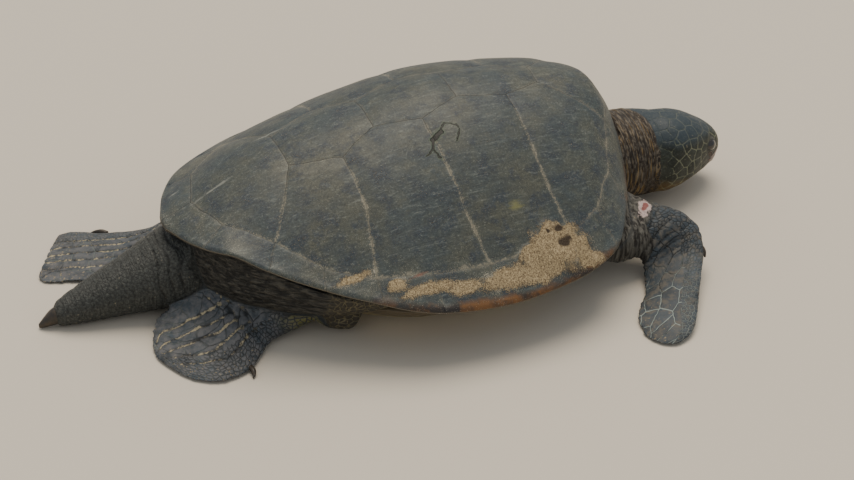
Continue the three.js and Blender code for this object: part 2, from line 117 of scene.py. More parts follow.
def resampled(rows: Rows, steps: int) -> np.ndarray:
    """Rows of sizes along a body part, with smooth steps between them.

    Args:
        rows: The sizes at each station.
        steps: Steps from one station to the next.

    Returns:
        One row of sizes per step.
    """
    places = np.linspace(0, len(rows) - 1, (len(rows) - 1) * steps + 1)
    columns = [Curve(tuple(enumerate(column)))(places) for column in zip(*rows)]
    return np.array(columns).T


def smooth_share(low: float, high: float, value: np.ndarray) -> np.ndarray:
    """A share that eases from 0 at low to 1 at high."""
    t = np.clip((value - low) / (high - low), 0, 1)
    return t * t * (3 - 2 * t)


def new_object(name: str, bm: bmesh.types.BMesh) -> bpy.types.Object:
    """Makes an object of a bmesh, which is freed.

    Args:
        name: The piece's name.
        bm: Its mesh, in millimetres in the row frame.

    Returns:
        The object in metres, linked to the scene and shaded smooth.
    """
    bmesh.ops.scale(bm, vec=Vector((MM, MM, MM)), verts=bm.verts[:])
    mesh = bpy.data.meshes.new(name)
    bm.to_mesh(mesh)
    bm.free()
    mesh.shade_smooth()
    made = bpy.data.objects.new(name, mesh)
    bpy.context.scene.collection.objects.link(made)
    return made


def points_of(mesh: bpy.types.Mesh, what: str = "co") -> np.ndarray:
    """The vertices' places ("co") or normals ("normal") as an array of rows."""
    flat = np.empty(len(mesh.vertices) * 3)
    mesh.vertices.foreach_get(what, flat)
    return flat.reshape(-1, 3)


def place_points(mesh: bpy.types.Mesh, points: np.ndarray) -> None:
    """Moves a mesh's vertices to new places."""
    mesh.vertices.foreach_set("co", np.ascontiguousarray(points, float).ravel())
    mesh.update()


def keep_value(mesh: bpy.types.Mesh, name: str, values: np.ndarray) -> None:
    """Stores a number or a vector per vertex, for the finishes to read."""
    kind, key = ("FLOAT", "value") if values.ndim == 1 else ("FLOAT_VECTOR", "vector")
    attribute = mesh.attributes.new(name, kind, "POINT")
    attribute.data.foreach_set(key, np.ascontiguousarray(values, np.float32).ravel())


def apply_modifiers(piece: bpy.types.Object) -> None:
    """Makes a piece's live modifiers part of its mesh."""
    graph = bpy.context.evaluated_depsgraph_get()
    mesh = bpy.data.meshes.new_from_object(piece.evaluated_get(graph))
    piece.modifiers.clear()
    piece.data = mesh


def loft(rings: Sequence[Sequence[Vector]]) -> bmesh.types.BMesh:
    """A closed tube through rings of points, all of one count.

    Args:
        rings: The rings, in order.

    Returns:
        The mesh, with its faces turned outwards.
    """
    bm = bmesh.new()
    last: list[bmesh.types.BMEdge] = []
    for ring in rings:
        made = bmesh.ops.create_circle(bm, segments=len(ring), radius=1, cap_ends=False)
        for vert, point in zip(made["verts"], ring):
            vert.co = point
        edges = list({edge for vert in made["verts"] for edge in vert.link_edges if not edge.link_faces})
        edges = [edge for edge in edges if all(v in made["verts"] for v in edge.verts)]
        if last:
            bmesh.ops.bridge_loops(bm, edges=last + edges)
        last = edges
    bmesh.ops.holes_fill(bm, edges=bm.edges[:])
    bmesh.ops.recalc_face_normals(bm, faces=bm.faces[:])
    return bm


def line_distance(points: np.ndarray, lines: Iterable[tuple[np.ndarray, np.ndarray]]) -> np.ndarray:
    """How far points lie from the nearest of some straight lines, seen from above.

    Args:
        points: Rows of x and y.
        lines: The two ends of each line.

    Returns:
        One distance per point.
    """
    best = np.full(len(points), 1e9)
    for start, end in lines:
        run = end - start
        share = np.clip((points - start) @ run / max(run @ run, 1e-12), 0, 1)
        best = np.minimum(best, np.linalg.norm(points - start - share[:, None] * run, axis=1))
    return best


# ---------------------------------------------------------------- shell
def rolled(radius: float, away: np.ndarray) -> np.ndarray:
    """How far a rounded edge falls back at some distances from it."""
    return radius - np.sqrt(np.maximum(0, radius**2 - np.maximum(0, radius - away) ** 2))


@dataclass
class Carapace:
    """The domed upper shell, and where its plates meet."""

    length: float = 900
    half_width: Curve = Curve((
        (0, 34), (0.03, 116), (0.08, 220), (0.16, 316), (0.28, 355), (0.42, 368),
        (0.56, 356), (0.7, 298), (0.82, 229), (0.92, 158), (0.97, 89), (1, 14),
    ))
    rim_height: Curve = Curve((
        (0, 172), (0.08, 150), (0.16, 124), (0.25, 113), (0.4, 106), (0.5, 109), (0.6, 121),
        (0.7, 139), (0.8, 157), (0.9, 168), (1, 178),
    ))
    right_rim_lift: Curve = Curve(((0, 0), (0.72, 0), (0.8, 4), (0.86, 15), (0.91, 27), (0.95, 17), (1, 2)))
    ridge_height: Curve = Curve((
        (0, 188), (0.03, 254), (0.07, 304), (0.2, 332), (0.4, 351), (0.6, 319), (0.8, 271), (0.93, 214),
        (1, 184),
    ))
    arch_power: float = 1.97
    flare_power: float = 1.17
    rim_above: float = 3
    rim_below: float = 8
    thickness: float = 15
    highest: float = 350.5
    rim_round: float = 5.5
    seam_depth: float = 0.9
    seam_width: float = 5
    valley_depth: float = 2.0
    valley_width: float = 30
    seam_gap: float = 0.15
    grid: float = 6
    outline_steps: int = 150
    end_crowding: float = 0.6

    def share(self, x: np.ndarray) -> np.ndarray:
        """How far along the shell a place lies, from 0 at the front to 1 at the back."""
        return np.clip(0.5 - np.asarray(x, float) / self.length, 0, 1)

    def rim_share(self, x: np.ndarray, y: np.ndarray) -> np.ndarray:
        """How far out a place lies, from 0 on the midline to 1 at the rim and -1 at the right rim."""
        return np.asarray(y, float) / self.half_width(self.share(x))

    def dome(self, x: np.ndarray, y: np.ndarray) -> np.ndarray:
        """Height of the nominal face over a place on the floor."""
        u, s = self.share(x), np.clip(self.rim_share(x, y), -1, 1)
        rim = self.rim_height(u) + np.where(s < 0, self.right_rim_lift(u), 0)
        return rim + (self.ridge_height(u) - rim) * (1 - np.abs(s) ** self.arch_power) ** self.flare_power

    def outer(self, x: np.ndarray, y: np.ndarray) -> np.ndarray:
        """Height of the outer face."""
        edge = np.minimum(np.abs(self.rim_share(x, y)), 1) ** 8
        return self.dome(x, y) + self.rim_above * edge

    def inner(self, x: np.ndarray, y: np.ndarray) -> np.ndarray:
        """Height of the inner face."""
        edge = np.minimum(np.abs(self.rim_share(x, y)), 1) ** 8
        return self.dome(x, y) - self.thickness + (self.thickness - self.rim_below) * edge

    def ceiling(self, x: np.ndarray, y: np.ndarray, beyond: float = 4) -> np.ndarray:
        """How high flesh may reach: up to the inner face, and freely outside the rim."""
        reach = self.half_width(np.clip(0.5 - x / (self.length + 2 * beyond), 0, 1)) + beyond
        covered = (np.abs(x) < self.length / 2 + beyond) & (np.abs(y) < reach)
        return np.where(covered, self.inner(x, y) - 1.6, 1e6)

    def outline(self) -> Outline:
        """The rim's outline from above, from the front round the left side and back along the right."""
        t = np.linspace(0, 1, self.outline_steps)
        u = t + self.end_crowding * ((1 - np.cos(math.pi * t)) / 2 - t)
        x, half = self.length * (0.5 - u), self.half_width(u)
        left = list(zip(x.tolist(), half.tolist()))
        return left + [(a, -b) for a, b in reversed(left)]


@dataclass
class PlatePlan:
    """Plan of the carapace's horn plates, as corners of x and distance from the midline."""

    vertebral_seams: Rows = ((279, 28), (105, 44), (-58, 47), (-222, 51))
    vertebral_corners: Rows = ((202, 56), (28, 71), (-130, 84))
    first_side: Rows = ((385, 105), (325, 66))
    last_side: Rows = ((-254, 113), (-290, 170))
    rim_inner: Rows = (
        (405, 58), (385, 105), (350, 190), (297, 257), (227, 290), (150, 306), (60, 314),
        (-45, 305), (-143, 282), (-225, 235), (-290, 170), (-364, 95), (-395, 0),
    )
    costal_seams: tuple[Rows, ...] = (
        ((202, 56), (209, 214), (227, 290)),
        ((28, 71), (44, 237), (60, 314)),
        ((-130, 84), (-123, 180), (-143, 282)),
    )
    nuchal_edge: float = 62
    beyond: float = 150
    marginal_groups: tuple[tuple[str, int, int], ...] = (
        ("marginals_front", 0, 3), ("marginals_bridge", 3, 7), ("marginals_rear", 7, 11),
        ("supracaudal", 11, 12),
    )

    def middle(self) -> list[tuple[str, Outline]]:
        """The five vertebral plates, each with its node's name."""
        seams, front = self.vertebral_seams, self.rim_inner[0]
        halves = [[front, *self.first_side, seams[0]]]
        halves += [[seams[i], corner, seams[i + 1]] for i, corner in enumerate(self.vertebral_corners)]
        halves += [[seams[3], *self.last_side, *self.rim_inner[11:]]]
        return [(f"vertebral_{i + 1}", self.both_sides(half)) for i, half in enumerate(halves)]

    def costals(self, side: Side) -> list[tuple[str, Outline]]:
        """The four costal plates of one side, each with its node's name."""
        rim, seams, bends = self.rim_inner, self.vertebral_seams, self.costal_seams
        plans = [
            [self.first_side[1], seams[0], *bends[0], *reversed(rim[1:4])],
            [seams[1], *bends[1], rim[5], *reversed(bends[0])],
            [seams[2], *bends[2], rim[7], *reversed(bends[1])],
            [seams[3], *self.last_side, rim[9], *reversed(bends[2])],
        ]
        return [(f"costal_{side.word}_{i + 1}", self.on(side, plan)) for i, plan in enumerate(plans)]

    def rim_plates(self, side: Side, shell: Carapace) -> list[tuple[str, str, Outline]]:
        """The marginal plates of one side: the piece's name, its node's name and its plan.

        Args:
            side: The side of the animal.
            shell: The shell whose outline ends the plates.

        Returns:
            One entry per plate, from the front to the back.
        """
        made = []
        for group, start, stop in self.marginal_groups:
            for i in range(start, stop):
                inner = [self.rim_inner[i], self.rim_inner[i + 1]]
                outer = [self.past_rim(point) for point in inner]
                if i == 0:
                    outer[0] = (inner[0][0] + self.beyond, self.nuchal_edge)
                node = f"{group}_{side.word}"
                name = f"{node}_plate" if group == "supracaudal" else f"marginal_{side.word}_{i + 1}"
                made.append((name, node, self.to_rim(self.on(side, inner), self.on(side, outer), shell)))
        return made

    def nuchal(self, shell: Carapace) -> Outline:
        """The plate over the neck."""
        x, y = self.rim_inner[0]
        outer = [(x + self.beyond, self.nuchal_edge), (x + self.beyond, -self.nuchal_edge)]
        return self.to_rim([(x, y), (x, -y)], outer, shell)

    def past_rim(self, point: Sequence[float]) -> tuple[float, float]:
        """The point outside the rim that faces an inner corner."""
        x, y = point
        middle = min(max(x, -170), 200)
        reach = self.beyond / math.hypot(x - middle, y)
        return x + (x - middle) * reach, y + y * reach

    @staticmethod
    def on(side: Side, points: Iterable[Sequence[float]]) -> Outline:
        """Corners given for the left side, on the side that is asked for."""
        return [(x, y * side.value) for x, y in points]

    @staticmethod
    def both_sides(points: Sequence[Sequence[float]]) -> Outline:
        """A whole outline from its left half."""
        return [*points, *[(x, -y) for x, y in reversed(points) if y != 0]]

    @staticmethod
    def to_rim(inner: Outline, outer: Outline, shell: Carapace) -> Outline:
        """A plate's outline, ended by the rim.

        Args:
            inner: Its two corners away from the rim.
            outer: A point beyond the rim for each of them.
            shell: The shell that has the rim.

        Returns:
            The two corners and the stretch of rim between the lines through them.
        """
        rim = np.array(shell.outline())
        onward = np.roll(rim, -1, axis=0)
        hits = []
        for start, end in zip(np.array(inner, float), np.array(outer, float)):
            run, leg = end - start, onward - rim
            cross = run[0] * leg[:, 1] - run[1] * leg[:, 0]
            cross = np.where(np.abs(cross) < 1e-9, 1e-9, cross)
            off = rim - start
            along = (off[:, 0] * leg[:, 1] - off[:, 1] * leg[:, 0]) / cross
            part = (off[:, 0] * run[1] - off[:, 1] * run[0]) / cross
            found = np.flatnonzero((along > 0) & (part >= 0) & (part < 1))
            index = found[np.argmin(along[found])]
            hits.append((int(index), tuple((start + along[index] * run).tolist())))
        (first, at_first), (second, at_second) = hits
        count = len(rim)
        ahead, behind = (second - first) % count, (first - second) % count
        if ahead <= behind:
            between = [rim[(first + 1 + k) % count] for k in range(ahead)]
        else:
            between = [rim[(first - k) % count] for k in range(behind)]
        ends = np.array([at_first, at_second])
        between = [point for point in between if np.linalg.norm(ends - point, axis=1).min() > 15]
        return [*inner[::-1], at_first, *[tuple(point.tolist()) for point in between], at_second]


@dataclass
class Crust:
    """Sand caked on the right margin: middles, reaches along and across, and heights."""

    heaps: Rows = (
        (198, -309, 56, 31, 14), (148, -318, 30, 20, 8), (95, -336, 58, 15, 2.8), (150, -336, 45, 15, 4),
        (8, -334, 34, 9, 1.2), (-62, -322, 48, 8, 1.4), (-112, -301, 19, 9, 1.6), (246, -326, 34, 13, 2.5),
        (-180, -268, 36, 6, 0.4),
    )
    pits: Rows = ((202, -289, 17, 6, 3), (208, -307, 17, 9, 5), (182, -292, 6, 4, 2), (220, -300, 7, 4, 2))

    def over(self, x: np.ndarray, y: np.ndarray) -> tuple[np.ndarray, np.ndarray, np.ndarray]:
        """The share of sand, the share of its dark pits and its height over places on the floor."""
        level = np.column_stack([x, y, np.zeros(len(x))])
        fray = 0.3 * noise_at(level, 17) + 0.22 * noise_at(level, 7.5)

        def near(spot: Sequence[float]) -> np.ndarray:
            """How far inside a heap or pit places lie, from 0 past its edge to 1 at its middle."""
            gap = np.hypot((x - spot[0]) / spot[2], (y - spot[1]) / spot[3]) + fray
            return np.clip(1.35 - gap, 0, 1)

        heaps, pits = ([near(spot) for spot in spots] for spots in (self.heaps, self.pits))
        piled = [spot[4] * smooth_share(0.15, 0.6, share) for spot, share in zip(self.heaps, heaps)]
        height = np.max(piled, axis=0)
        dug = [spot[4] * share for spot, share in zip(self.pits, pits)]
        height = height - np.max(dug, axis=0) * (height > 1)
        return np.max(heaps, axis=0), np.max(pits, axis=0), np.maximum(height, 0)


@dataclass
class PlateCutter:
    """Cuts horn plates from their plans, fine enough to follow the shell."""

    shell: Carapace
    crust: Crust
    rings: tuple[float, ...] = (0.7, 1.6, 3.0, 5.5)

    def columns(self) -> list[float]:
        """Places along the shell where every plate is divided, closer where the ridge is steep."""
        x = np.linspace(450, -450, 1800)
        climb = self.shell.ridge_height(self.shell.share(x))
        run = np.concatenate(([0], np.cumsum(np.hypot(np.diff(x), np.diff(climb)))))
        return np.interp(np.arange(3, run[-1], self.shell.grid), run, x).tolist()

    def flat(self, plan: Outline) -> bmesh.types.BMesh:
        """A plate's plan as a flat mesh with rings along its edge and a grid over it.

        Args:
            plan: The plate's corners.

        Returns:
            The flat mesh, in millimetres.
        """
        bm = bmesh.new()
        face = bm.faces.new([bm.verts.new((x, y, 0)) for x, y in plan])
        bmesh.ops.recalc_face_normals(bm, faces=[face])
        if face.normal.z < 0:
            face.normal_flip()
        inside = self.shell.seam_gap
        self.shrink(bm, face, inside)
        outer = [other for other in bm.faces if other is not face]
        bmesh.ops.delete(bm, geom=outer, context="FACES")
        for ring in self.rings:
            self.shrink(bm, face, ring - inside)
            inside = ring
        xs, ys = [p[0] for p in plan], [p[1] for p in plan]
        grid = self.shell.grid
        rows = np.arange(math.floor(min(ys) / grid) * grid + grid / 2, max(ys), grid)
        for x in [c for c in self.columns() if min(xs) < c < max(xs)]:
            self.divide(bm, Vector((x, 0, 0)), Vector((1, 0, 0)))
        for y in rows.tolist():
            self.divide(bm, Vector((0, y, 0)), Vector((0, 1, 0)))
        return bm

    @staticmethod
    def shrink(bm: bmesh.types.BMesh, face: bmesh.types.BMFace, by: float) -> None:
        """Draws a face's outline in, and leaves a ring of faces round it."""
        bmesh.ops.inset_region(bm, faces=[face], thickness=by, use_even_offset=True, use_boundary=True)

    @staticmethod
    def divide(bm: bmesh.types.BMesh, at: Vector, square_to: Vector) -> None:
        """Cuts every face along a plane, and keeps both sides."""
        everything = bm.verts[:] + bm.edges[:] + bm.faces[:]
        bmesh.ops.bisect_plane(bm, geom=everything, plane_co=at, plane_no=square_to, dist=1e-4)

    def cut(self, name: str, plan: Outline) -> bpy.types.Object:
        """A whole plate, lifted onto the shell, with a rounded rim and shallow seams.

        Args:
            name: The piece's name.
            plan: The plate's corners.

        Returns:
            The piece, with the distances to its seams and to the rim kept for its finish.
        """
        bm = self.flat(plan)
        raised = bmesh.ops.extrude_face_region(bm, geom=bm.faces[:], use_keep_orig=True)["geom"]
        upper = {part for part in raised if isinstance(part, bmesh.types.BMVert)}
        flat = np.array([v.co.xy[:] for v in bm.verts])
        shell = self.shell
        edge, rim = self.distances(flat, plan)
        at_rim = smooth_share(shell.rim_round + 3, shell.rim_round, rim)
        seam = shell.seam_depth * (1 - smooth_share(0, shell.seam_width, edge))
        seam = (seam + shell.valley_depth * (1 - smooth_share(0, shell.valley_width, edge))) * (1 - at_rim)
        curl = rolled(shell.rim_round, rim)
        x, y = self.wandered(flat, rim).T
        sand, pit, crust = self.crust.over(x, y)
        top = np.minimum(shell.outer(x, y) - seam - curl + crust * smooth_share(0, 9, rim), shell.highest)
        bottom = shell.inner(x, y) + curl
        above = np.array([vert in upper for vert in bm.verts])
        for vert, place in zip(bm.verts, np.column_stack([x, y, np.where(above, top, bottom)]).tolist()):
            vert.co = place
        bmesh.ops.recalc_face_normals(bm, faces=bm.faces[:])
        piece = new_object(name, bm)
        keep_value(piece.data, "edges", np.column_stack([edge * MM, rim * MM, np.zeros(len(x))]))
        keep_value(piece.data, "marks", np.column_stack([sand * above, above, pit * above]))
        return piece

    def wandered(self, flat: np.ndarray, rim: np.ndarray) -> np.ndarray:
        """Places moved a little, the same way on both sides of a seam, so that no seam is straight."""
        level = np.column_stack([flat, np.zeros(len(flat))])
        moved = [
            sum(reach * noise_at(level + shift, size) for reach, size in ((3.0, 46), (1.1, 15)))
            for shift in ((0, 0, 0), (0, 0, 500))
        ]
        return flat + np.column_stack(moved) * smooth_share(0, 25, rim)[:, None]

    def distances(self, flat: np.ndarray, plan: Outline) -> tuple[np.ndarray, np.ndarray]:
        """How far places are from a plate's seams and from the shell's rim.

        Args:
            flat: Rows of x and y.
            plan: The plate's corners.

        Returns:
            The distances to the seams, and those to the rim.
        """
        rim = np.array(self.shell.outline())
        edges = list(zip(rim, np.roll(rim, -1, axis=0)))
        corners = np.array(plan, float)
        sides = list(zip(corners, np.roll(corners, -1, axis=0)))
        middles = np.array([(start + end) / 2 for start, end in sides])
        on_rim = line_distance(middles, edges) < 0.5
        seams = [side for side, is_rim in zip(sides, on_rim) if not is_rim]
        return line_distance(flat, seams), line_distance(flat, edges)


@dataclass
class Plastron:
    """The pale lower shell: flat under the belly and turned up at the bridges."""

    rows: Rows = (
        (372, 26, 45, 5), (350, 60, 98, 16), (290, 108, 158, 26), (215, 140, 222, 44), (150, 160, 318, 84),
        (60, 178, 334, 88), (-50, 170, 326, 90), (-125, 140, 284, 84), (-190, 104, 172, 36),
        (-280, 75, 122, 24), (-340, 38, 66, 14), (-356, 10, 26, 6),
    )
    thickness: float = 14
    rise_power: float = 1.6
    grid: float = 7
    edge_round: float = 5
    seams: tuple[float, ...] = (268, 150, 45, -70, -190, -290)
    seam_depth: float = 1.4

    def sizes(self, x: np.ndarray) -> tuple[np.ndarray, np.ndarray, np.ndarray]:
        """Half width of the flat, full half width and edge height along the plastron."""
        table = np.array(self.rows)[::-1]
        flat, wide, high = (Curve(tuple(zip(table[:, 0], table[:, i])))(x) for i in (1, 2, 3))
        return flat, wide, high

    def under(self, x: np.ndarray, y: np.ndarray) -> np.ndarray:
        """Height of the lower face over a place on the floor."""
        flat, wide, high = self.sizes(x)
        t = np.clip((np.abs(y) - flat) / np.maximum(wide - flat, 1), 0, 1)
        return high * t**self.rise_power

    def inside(self, x: np.ndarray, y: np.ndarray, margin: float = 0) -> np.ndarray:
        """Whether places lie over the plastron, with a margin taken off all round."""
        _, wide, _ = self.sizes(x)
        ends = (x < self.rows[0][0] - margin) & (x > self.rows[-1][0] + margin)
        return ends & (np.abs(y) < wide - margin)

    def outline(self) -> Outline:
        """The plastron's outline from above."""
        x = np.linspace(self.rows[0][0], self.rows[-1][0], 90)
        _, wide, _ = self.sizes(x)
        left = list(zip(x.tolist(), wide.tolist()))
        return left + [(a, -b) for a, b in reversed(left)]

    def build(self) -> bpy.types.Object:
        """The whole plate, with grooves where its horn shields meet."""
        bm = bmesh.new()
        plan = self.outline()
        face = bm.faces.new([bm.verts.new((x, y, 0)) for x, y in plan])
        if face.normal.z < 0:
            face.normal_flip()
        for ring in (1.2, 1.6, 2.6):
            PlateCutter.shrink(bm, face, ring)
        beside = [seam + step for seam in self.seams for step in (-2, 0, 2)]
        for x in [*np.arange(-350, 372, self.grid).tolist(), *beside]:
            PlateCutter.divide(bm, Vector((x, 0, 0)), Vector((1, 0, 0)))
        for y in [*np.arange(-332, 333, self.grid).tolist(), -2.0, 2.0]:
            PlateCutter.divide(bm, Vector((0, y, 0)), Vector((0, 1, 0)))
        raised = bmesh.ops.extrude_face_region(bm, geom=bm.faces[:], use_keep_orig=True)["geom"]
        upper = {part for part in raised if isinstance(part, bmesh.types.BMVert)}
        flat = np.array([v.co.xy[:] for v in bm.verts])
        corners = np.array(plan)
        edge = line_distance(flat, list(zip(corners, np.roll(corners, -1, axis=0))))
        curl = rolled(self.edge_round, edge)
        x, y = flat.T
        seam = np.min([np.abs(x - at) for at in self.seams] + [np.abs(y)], axis=0)
        groove = self.seam_depth * (1 - smooth_share(0, 4, seam))
        low = self.under(x, y)
        for i, vert in enumerate(bm.verts):
            vert.co.z = low[i] + (self.thickness - curl[i] if vert in upper else curl[i] + groove[i])
        bmesh.ops.recalc_face_normals(bm, faces=bm.faces[:])
        piece = new_object("plastron_horn", bm)
        keep_value(piece.data, "seam", seam * MM)
        return piece


# ---------------------------------------------------------------- soft parts
@dataclass
class Part:
    """A soft part as rings of points, with a place along and round it for each."""

    name: str
    rings: np.ndarray
    along: np.ndarray
    around: np.ndarray

    def mesh(self) -> bmesh.types.BMesh:
        """The part as a closed tube."""
        return loft([[Vector(point) for point in ring] for ring in self.rings])


def section(sides: int, squareness: float = 1) -> tuple[np.ndarray, np.ndarray]:
    """Places round a closed section, as the cosine and sine of each, starting at the left."""
    angle = np.arange(sides) * 2 * math.pi / sides
    c, h = np.cos(angle), np.sin(angle)
    return np.sign(c) * np.abs(c) ** squareness, np.sign(h) * np.abs(h) ** squareness


def run_along(middles: np.ndarray) -> np.ndarray:
    """Length along a line of points, from its start."""
    return np.concatenate(([0], np.cumsum(np.linalg.norm(np.diff(middles, axis=0), axis=1))))


@dataclass
class Barrel:
    """A round part along stations of x, y, z, half width, above and below."""

    name: str
    rows: Rows
    squareness: float = 1
    steps: int = 6
    sides: int = 44

    def part(self) -> Part:
        """The part's rings. Round it, places count from the belly, the same on both sides."""
        table = resampled(self.rows, self.steps)
        c, h = section(self.sides, self.squareness)
        reach = np.where(h > 0, table[:, 4, None], table[:, 5, None])
        y = table[:, 1, None] + table[:, 3, None] * c
        z = table[:, 2, None] + reach * h
        x = np.broadcast_to(table[:, 0, None], y.shape)
        angle = np.abs(np.arctan2(np.abs(c), -h))
        around = angle * (table[:, 3, None] + reach) / 2
        along = np.broadcast_to(run_along(table[:, :3])[:, None], y.shape)
        return Part(self.name, np.stack([x, y, z], axis=-1), along, around)


@dataclass
class Limb:
    """A flipper between its leading and trailing edges, thinned towards the trailing one."""

    name: str
    side: Side
    stations: tuple[tuple[tuple[float, ...], tuple[float, ...], float, float], ...]
    thinning: float = 0.5
    steps: int = 6
    sides: int = 44

    def part(self) -> Part:
        """The limb's rings. Round it, places count from the leading edge, the same above and below."""
        rows = tuple((*lead, *trail, above, below) for lead, trail, above, below in self.stations)
        table = resampled(rows, self.steps)
        lead, trail = table[:, :3], table[:, 3:6]
        middle, chord = (lead + trail) / 2, (lead - trail) / 2
        onward = np.vstack([middle[1:], middle[-1:]]) - np.vstack([middle[:1], middle[:-1]])
        top = np.cross(chord, onward)
        top /= np.linalg.norm(top, axis=1, keepdims=True)
        top *= np.where(top[:, 2:] < 0, -1, 1)
        c, h = section(self.sides)
        thin = 1 - self.thinning * (1 - c) / 2
        reach = np.where(h > 0, table[:, 6, None], table[:, 7, None]) * h * thin
        rings = middle[:, None] + chord[:, None] * c[None, :, None] + top[:, None] * reach[:, :, None]
        rings[:, :, 1] *= self.side.value
        around = np.linalg.norm(chord, axis=1)[:, None] * (1 - c)
        along = np.broadcast_to(run_along(middle)[:, None], around.shape)
        return Part(self.name, rings, along, around)


@dataclass
class Head:
    """The head, built about its own axis from the tip of the beak."""

    tip: tuple[float, float, float] = (693, 21, 79)
    yaw: float = 12
    droop: float = 10
    rows: Rows = (
        (0, 13, 6, 32), (4, 22, 14, 43), (14, 33, 27, 54), (32, 44, 40, 60), (58, 55, 53, 66),
        (88, 66, 65, 73), (118, 72, 71, 83), (148, 73, 72, 88), (180, 58, 54, 72),
    )
    squareness: float = 0.86
    eye: tuple[float, float, float] = (50, 42, 12)
    eye_radius: float = 13.5
    look: tuple[float, float, float] = (0.06, 0.94, 0.3)
    opening: tuple[float, float] = (66, 50)
    lid: float = 1.9
    hollow: tuple[float, float] = (20, 30)
    mouth: float = -19
    nostril: tuple[float, float, float] = (7, 7, 8)

    def matrix(self) -> Matrix:
        """Places the head's own forward, left and up in the row frame."""
        yaw = Matrix.Rotation(math.radians(self.yaw), 4, "Z")
        droop = Matrix.Rotation(math.radians(self.droop), 4, "Y")
        return Matrix.Translation(Vector(self.tip)) @ (yaw @ droop)

    def local(self, points: np.ndarray) -> np.ndarray:
        """Points of the row frame as forward, left and up of the beak's tip."""
        turn = np.array(self.matrix().to_3x3())
        return (points - np.array(self.tip)) @ turn

    def world(self, points: np.ndarray) -> np.ndarray:
        """The reverse of local."""
        turn = np.array(self.matrix().to_3x3())
        return points @ turn.T + np.array(self.tip)

    def part(self) -> Part:
        """The skull and jaw as one form."""
        table = resampled(self.rows, 6)
        c, h = section(44, self.squareness)
        reach = np.where(h > 0, table[:, 2, None], table[:, 3, None])
        left, up = table[:, 1, None] * c, reach * h
        ahead = np.broadcast_to(-table[:, 0, None], left.shape)
        rings = self.world(np.stack([ahead, left, up], axis=-1))
        return Part("head", rings, np.broadcast_to(table[:, 0, None], left.shape), np.abs(left))

    def eye_centre(self, side: Side) -> np.ndarray:
        """The eye's centre in the head's own frame."""
        back, left, up = self.eye
        return np.array((-back, left * side.value, up))

    def gaze(self, side: Side) -> np.ndarray:
        """The way one eye looks, in the head's own frame."""
        forward, left, up = self.look
        axis = np.array((forward, left * side.value, up))
        return axis / np.linalg.norm(axis)

    def shape(self, points: np.ndarray) -> np.ndarray:
        """Gives the head its brows, cheeks, lids, sockets, mouth and nostrils.

        Args:
            points: Vertices in the row frame.

        Returns:
            The moved vertices.
        """
        p = self.local(points)
        near = np.flatnonzero((p[:, 0] > -150) & (p[:, 0] < 20) & (np.abs(p[:, 1]) < 90))
        q = p[near]
        out = q * np.array((0.0, 1.0, 1.0))
        out /= np.maximum(np.linalg.norm(out, axis=1, keepdims=True), 1e-6)
        for centre, radius, lift in (
            ((-60, 44, 33), 20, 2.6), ((-105, 62, -18), 34, 3.0), ((-30, 26, 22), 14, 0.8),
            ((-34, 30, -40), 16, -1.5), ((-58, 0, 53), 26, -1.2),
        ):
            gap = np.linalg.norm((q * (1, 0, 1) + np.abs(q) * (0, 1, 0)) - centre, axis=1)
            q = q + out * (lift * (1 - smooth_share(0, radius, gap)))[:, None]
        corner = smooth_share(-74, -62, q[:, 0]) * (1 - smooth_share(-44, -38, q[:, 0]))
        corner = corner * (np.abs(q[:, 1]) > 20)
        gap = q[:, 2] - self.mouth - 0.22 * (q[:, 0] + 44)
        q = q - out * (1.9 * corner * np.exp(-((gap / 1.3) ** 2)))[:, None]
        for side in Side:
            q = self.nostrilled(self.lidded(q, side), side)
        p[near] = q
        return self.world(p)

    def lidded(self, q: np.ndarray, side: Side) -> np.ndarray:
        """Sinks the socket and raises the lids of one eye, about the eyeball."""
        centre = self.eye_centre(side)
        axis = self.gaze(side)
        level = np.cross(axis, (0, 0, 1)) * -side.value
        level /= np.linalg.norm(level)
        rise = np.cross(level, axis) * side.value
        away = q - centre
        reach = np.linalg.norm(away, axis=1)
        across, up = away @ level, away @ rise
        aside = np.maximum(np.hypot(across, up), 1e-6)
        facing = away @ axis
        turned = np.degrees(np.arctan2(aside, facing))
        ring = turned * np.hypot(across / aside / self.opening[0], up / aside / self.opening[1])
        start, end = self.hollow
        ring = np.where(reach > start, np.maximum(ring, 1 + 1.2 * (reach - start) / (end - start)), ring)
        sunk = self.eye_radius - 3.0
        swell = np.sin(np.clip((ring - 1) / 0.55, 0, 1) * math.pi * 0.5) ** 0.6
        lid = self.eye_radius + 0.3 + self.lid * swell
        target = np.where(ring < 1, sunk, lid)
        fold = 0.9 * np.exp(-(((ring - 1.75) / 0.12) ** 2))
        begin = 1.5 - 0.35 * smooth_share(start, start + 3, reach)
        hold = (1 - smooth_share(begin, 2.2, ring)) * smooth_share(-1, 5, facing)
        new = reach + (target - reach) * hold - fold * (reach < end) * smooth_share(-1, 5, facing)
        return centre + away / np.maximum(reach, 1e-6)[:, None] * new[:, None]

    def nostrilled(self, q: np.ndarray, side: Side) -> np.ndarray:
        """Presses one nostril into the snout."""
        back, left, up = self.nostril
        at = np.array((-back, left * side.value, up))
        gap = np.linalg.norm((q - at) * (1, 1, 1.5), axis=1)
        return q + np.array((-1.0, 0, -0.3)) * (2.6 * (1 - smooth_share(0.8, 3.6, gap)))[:, None]


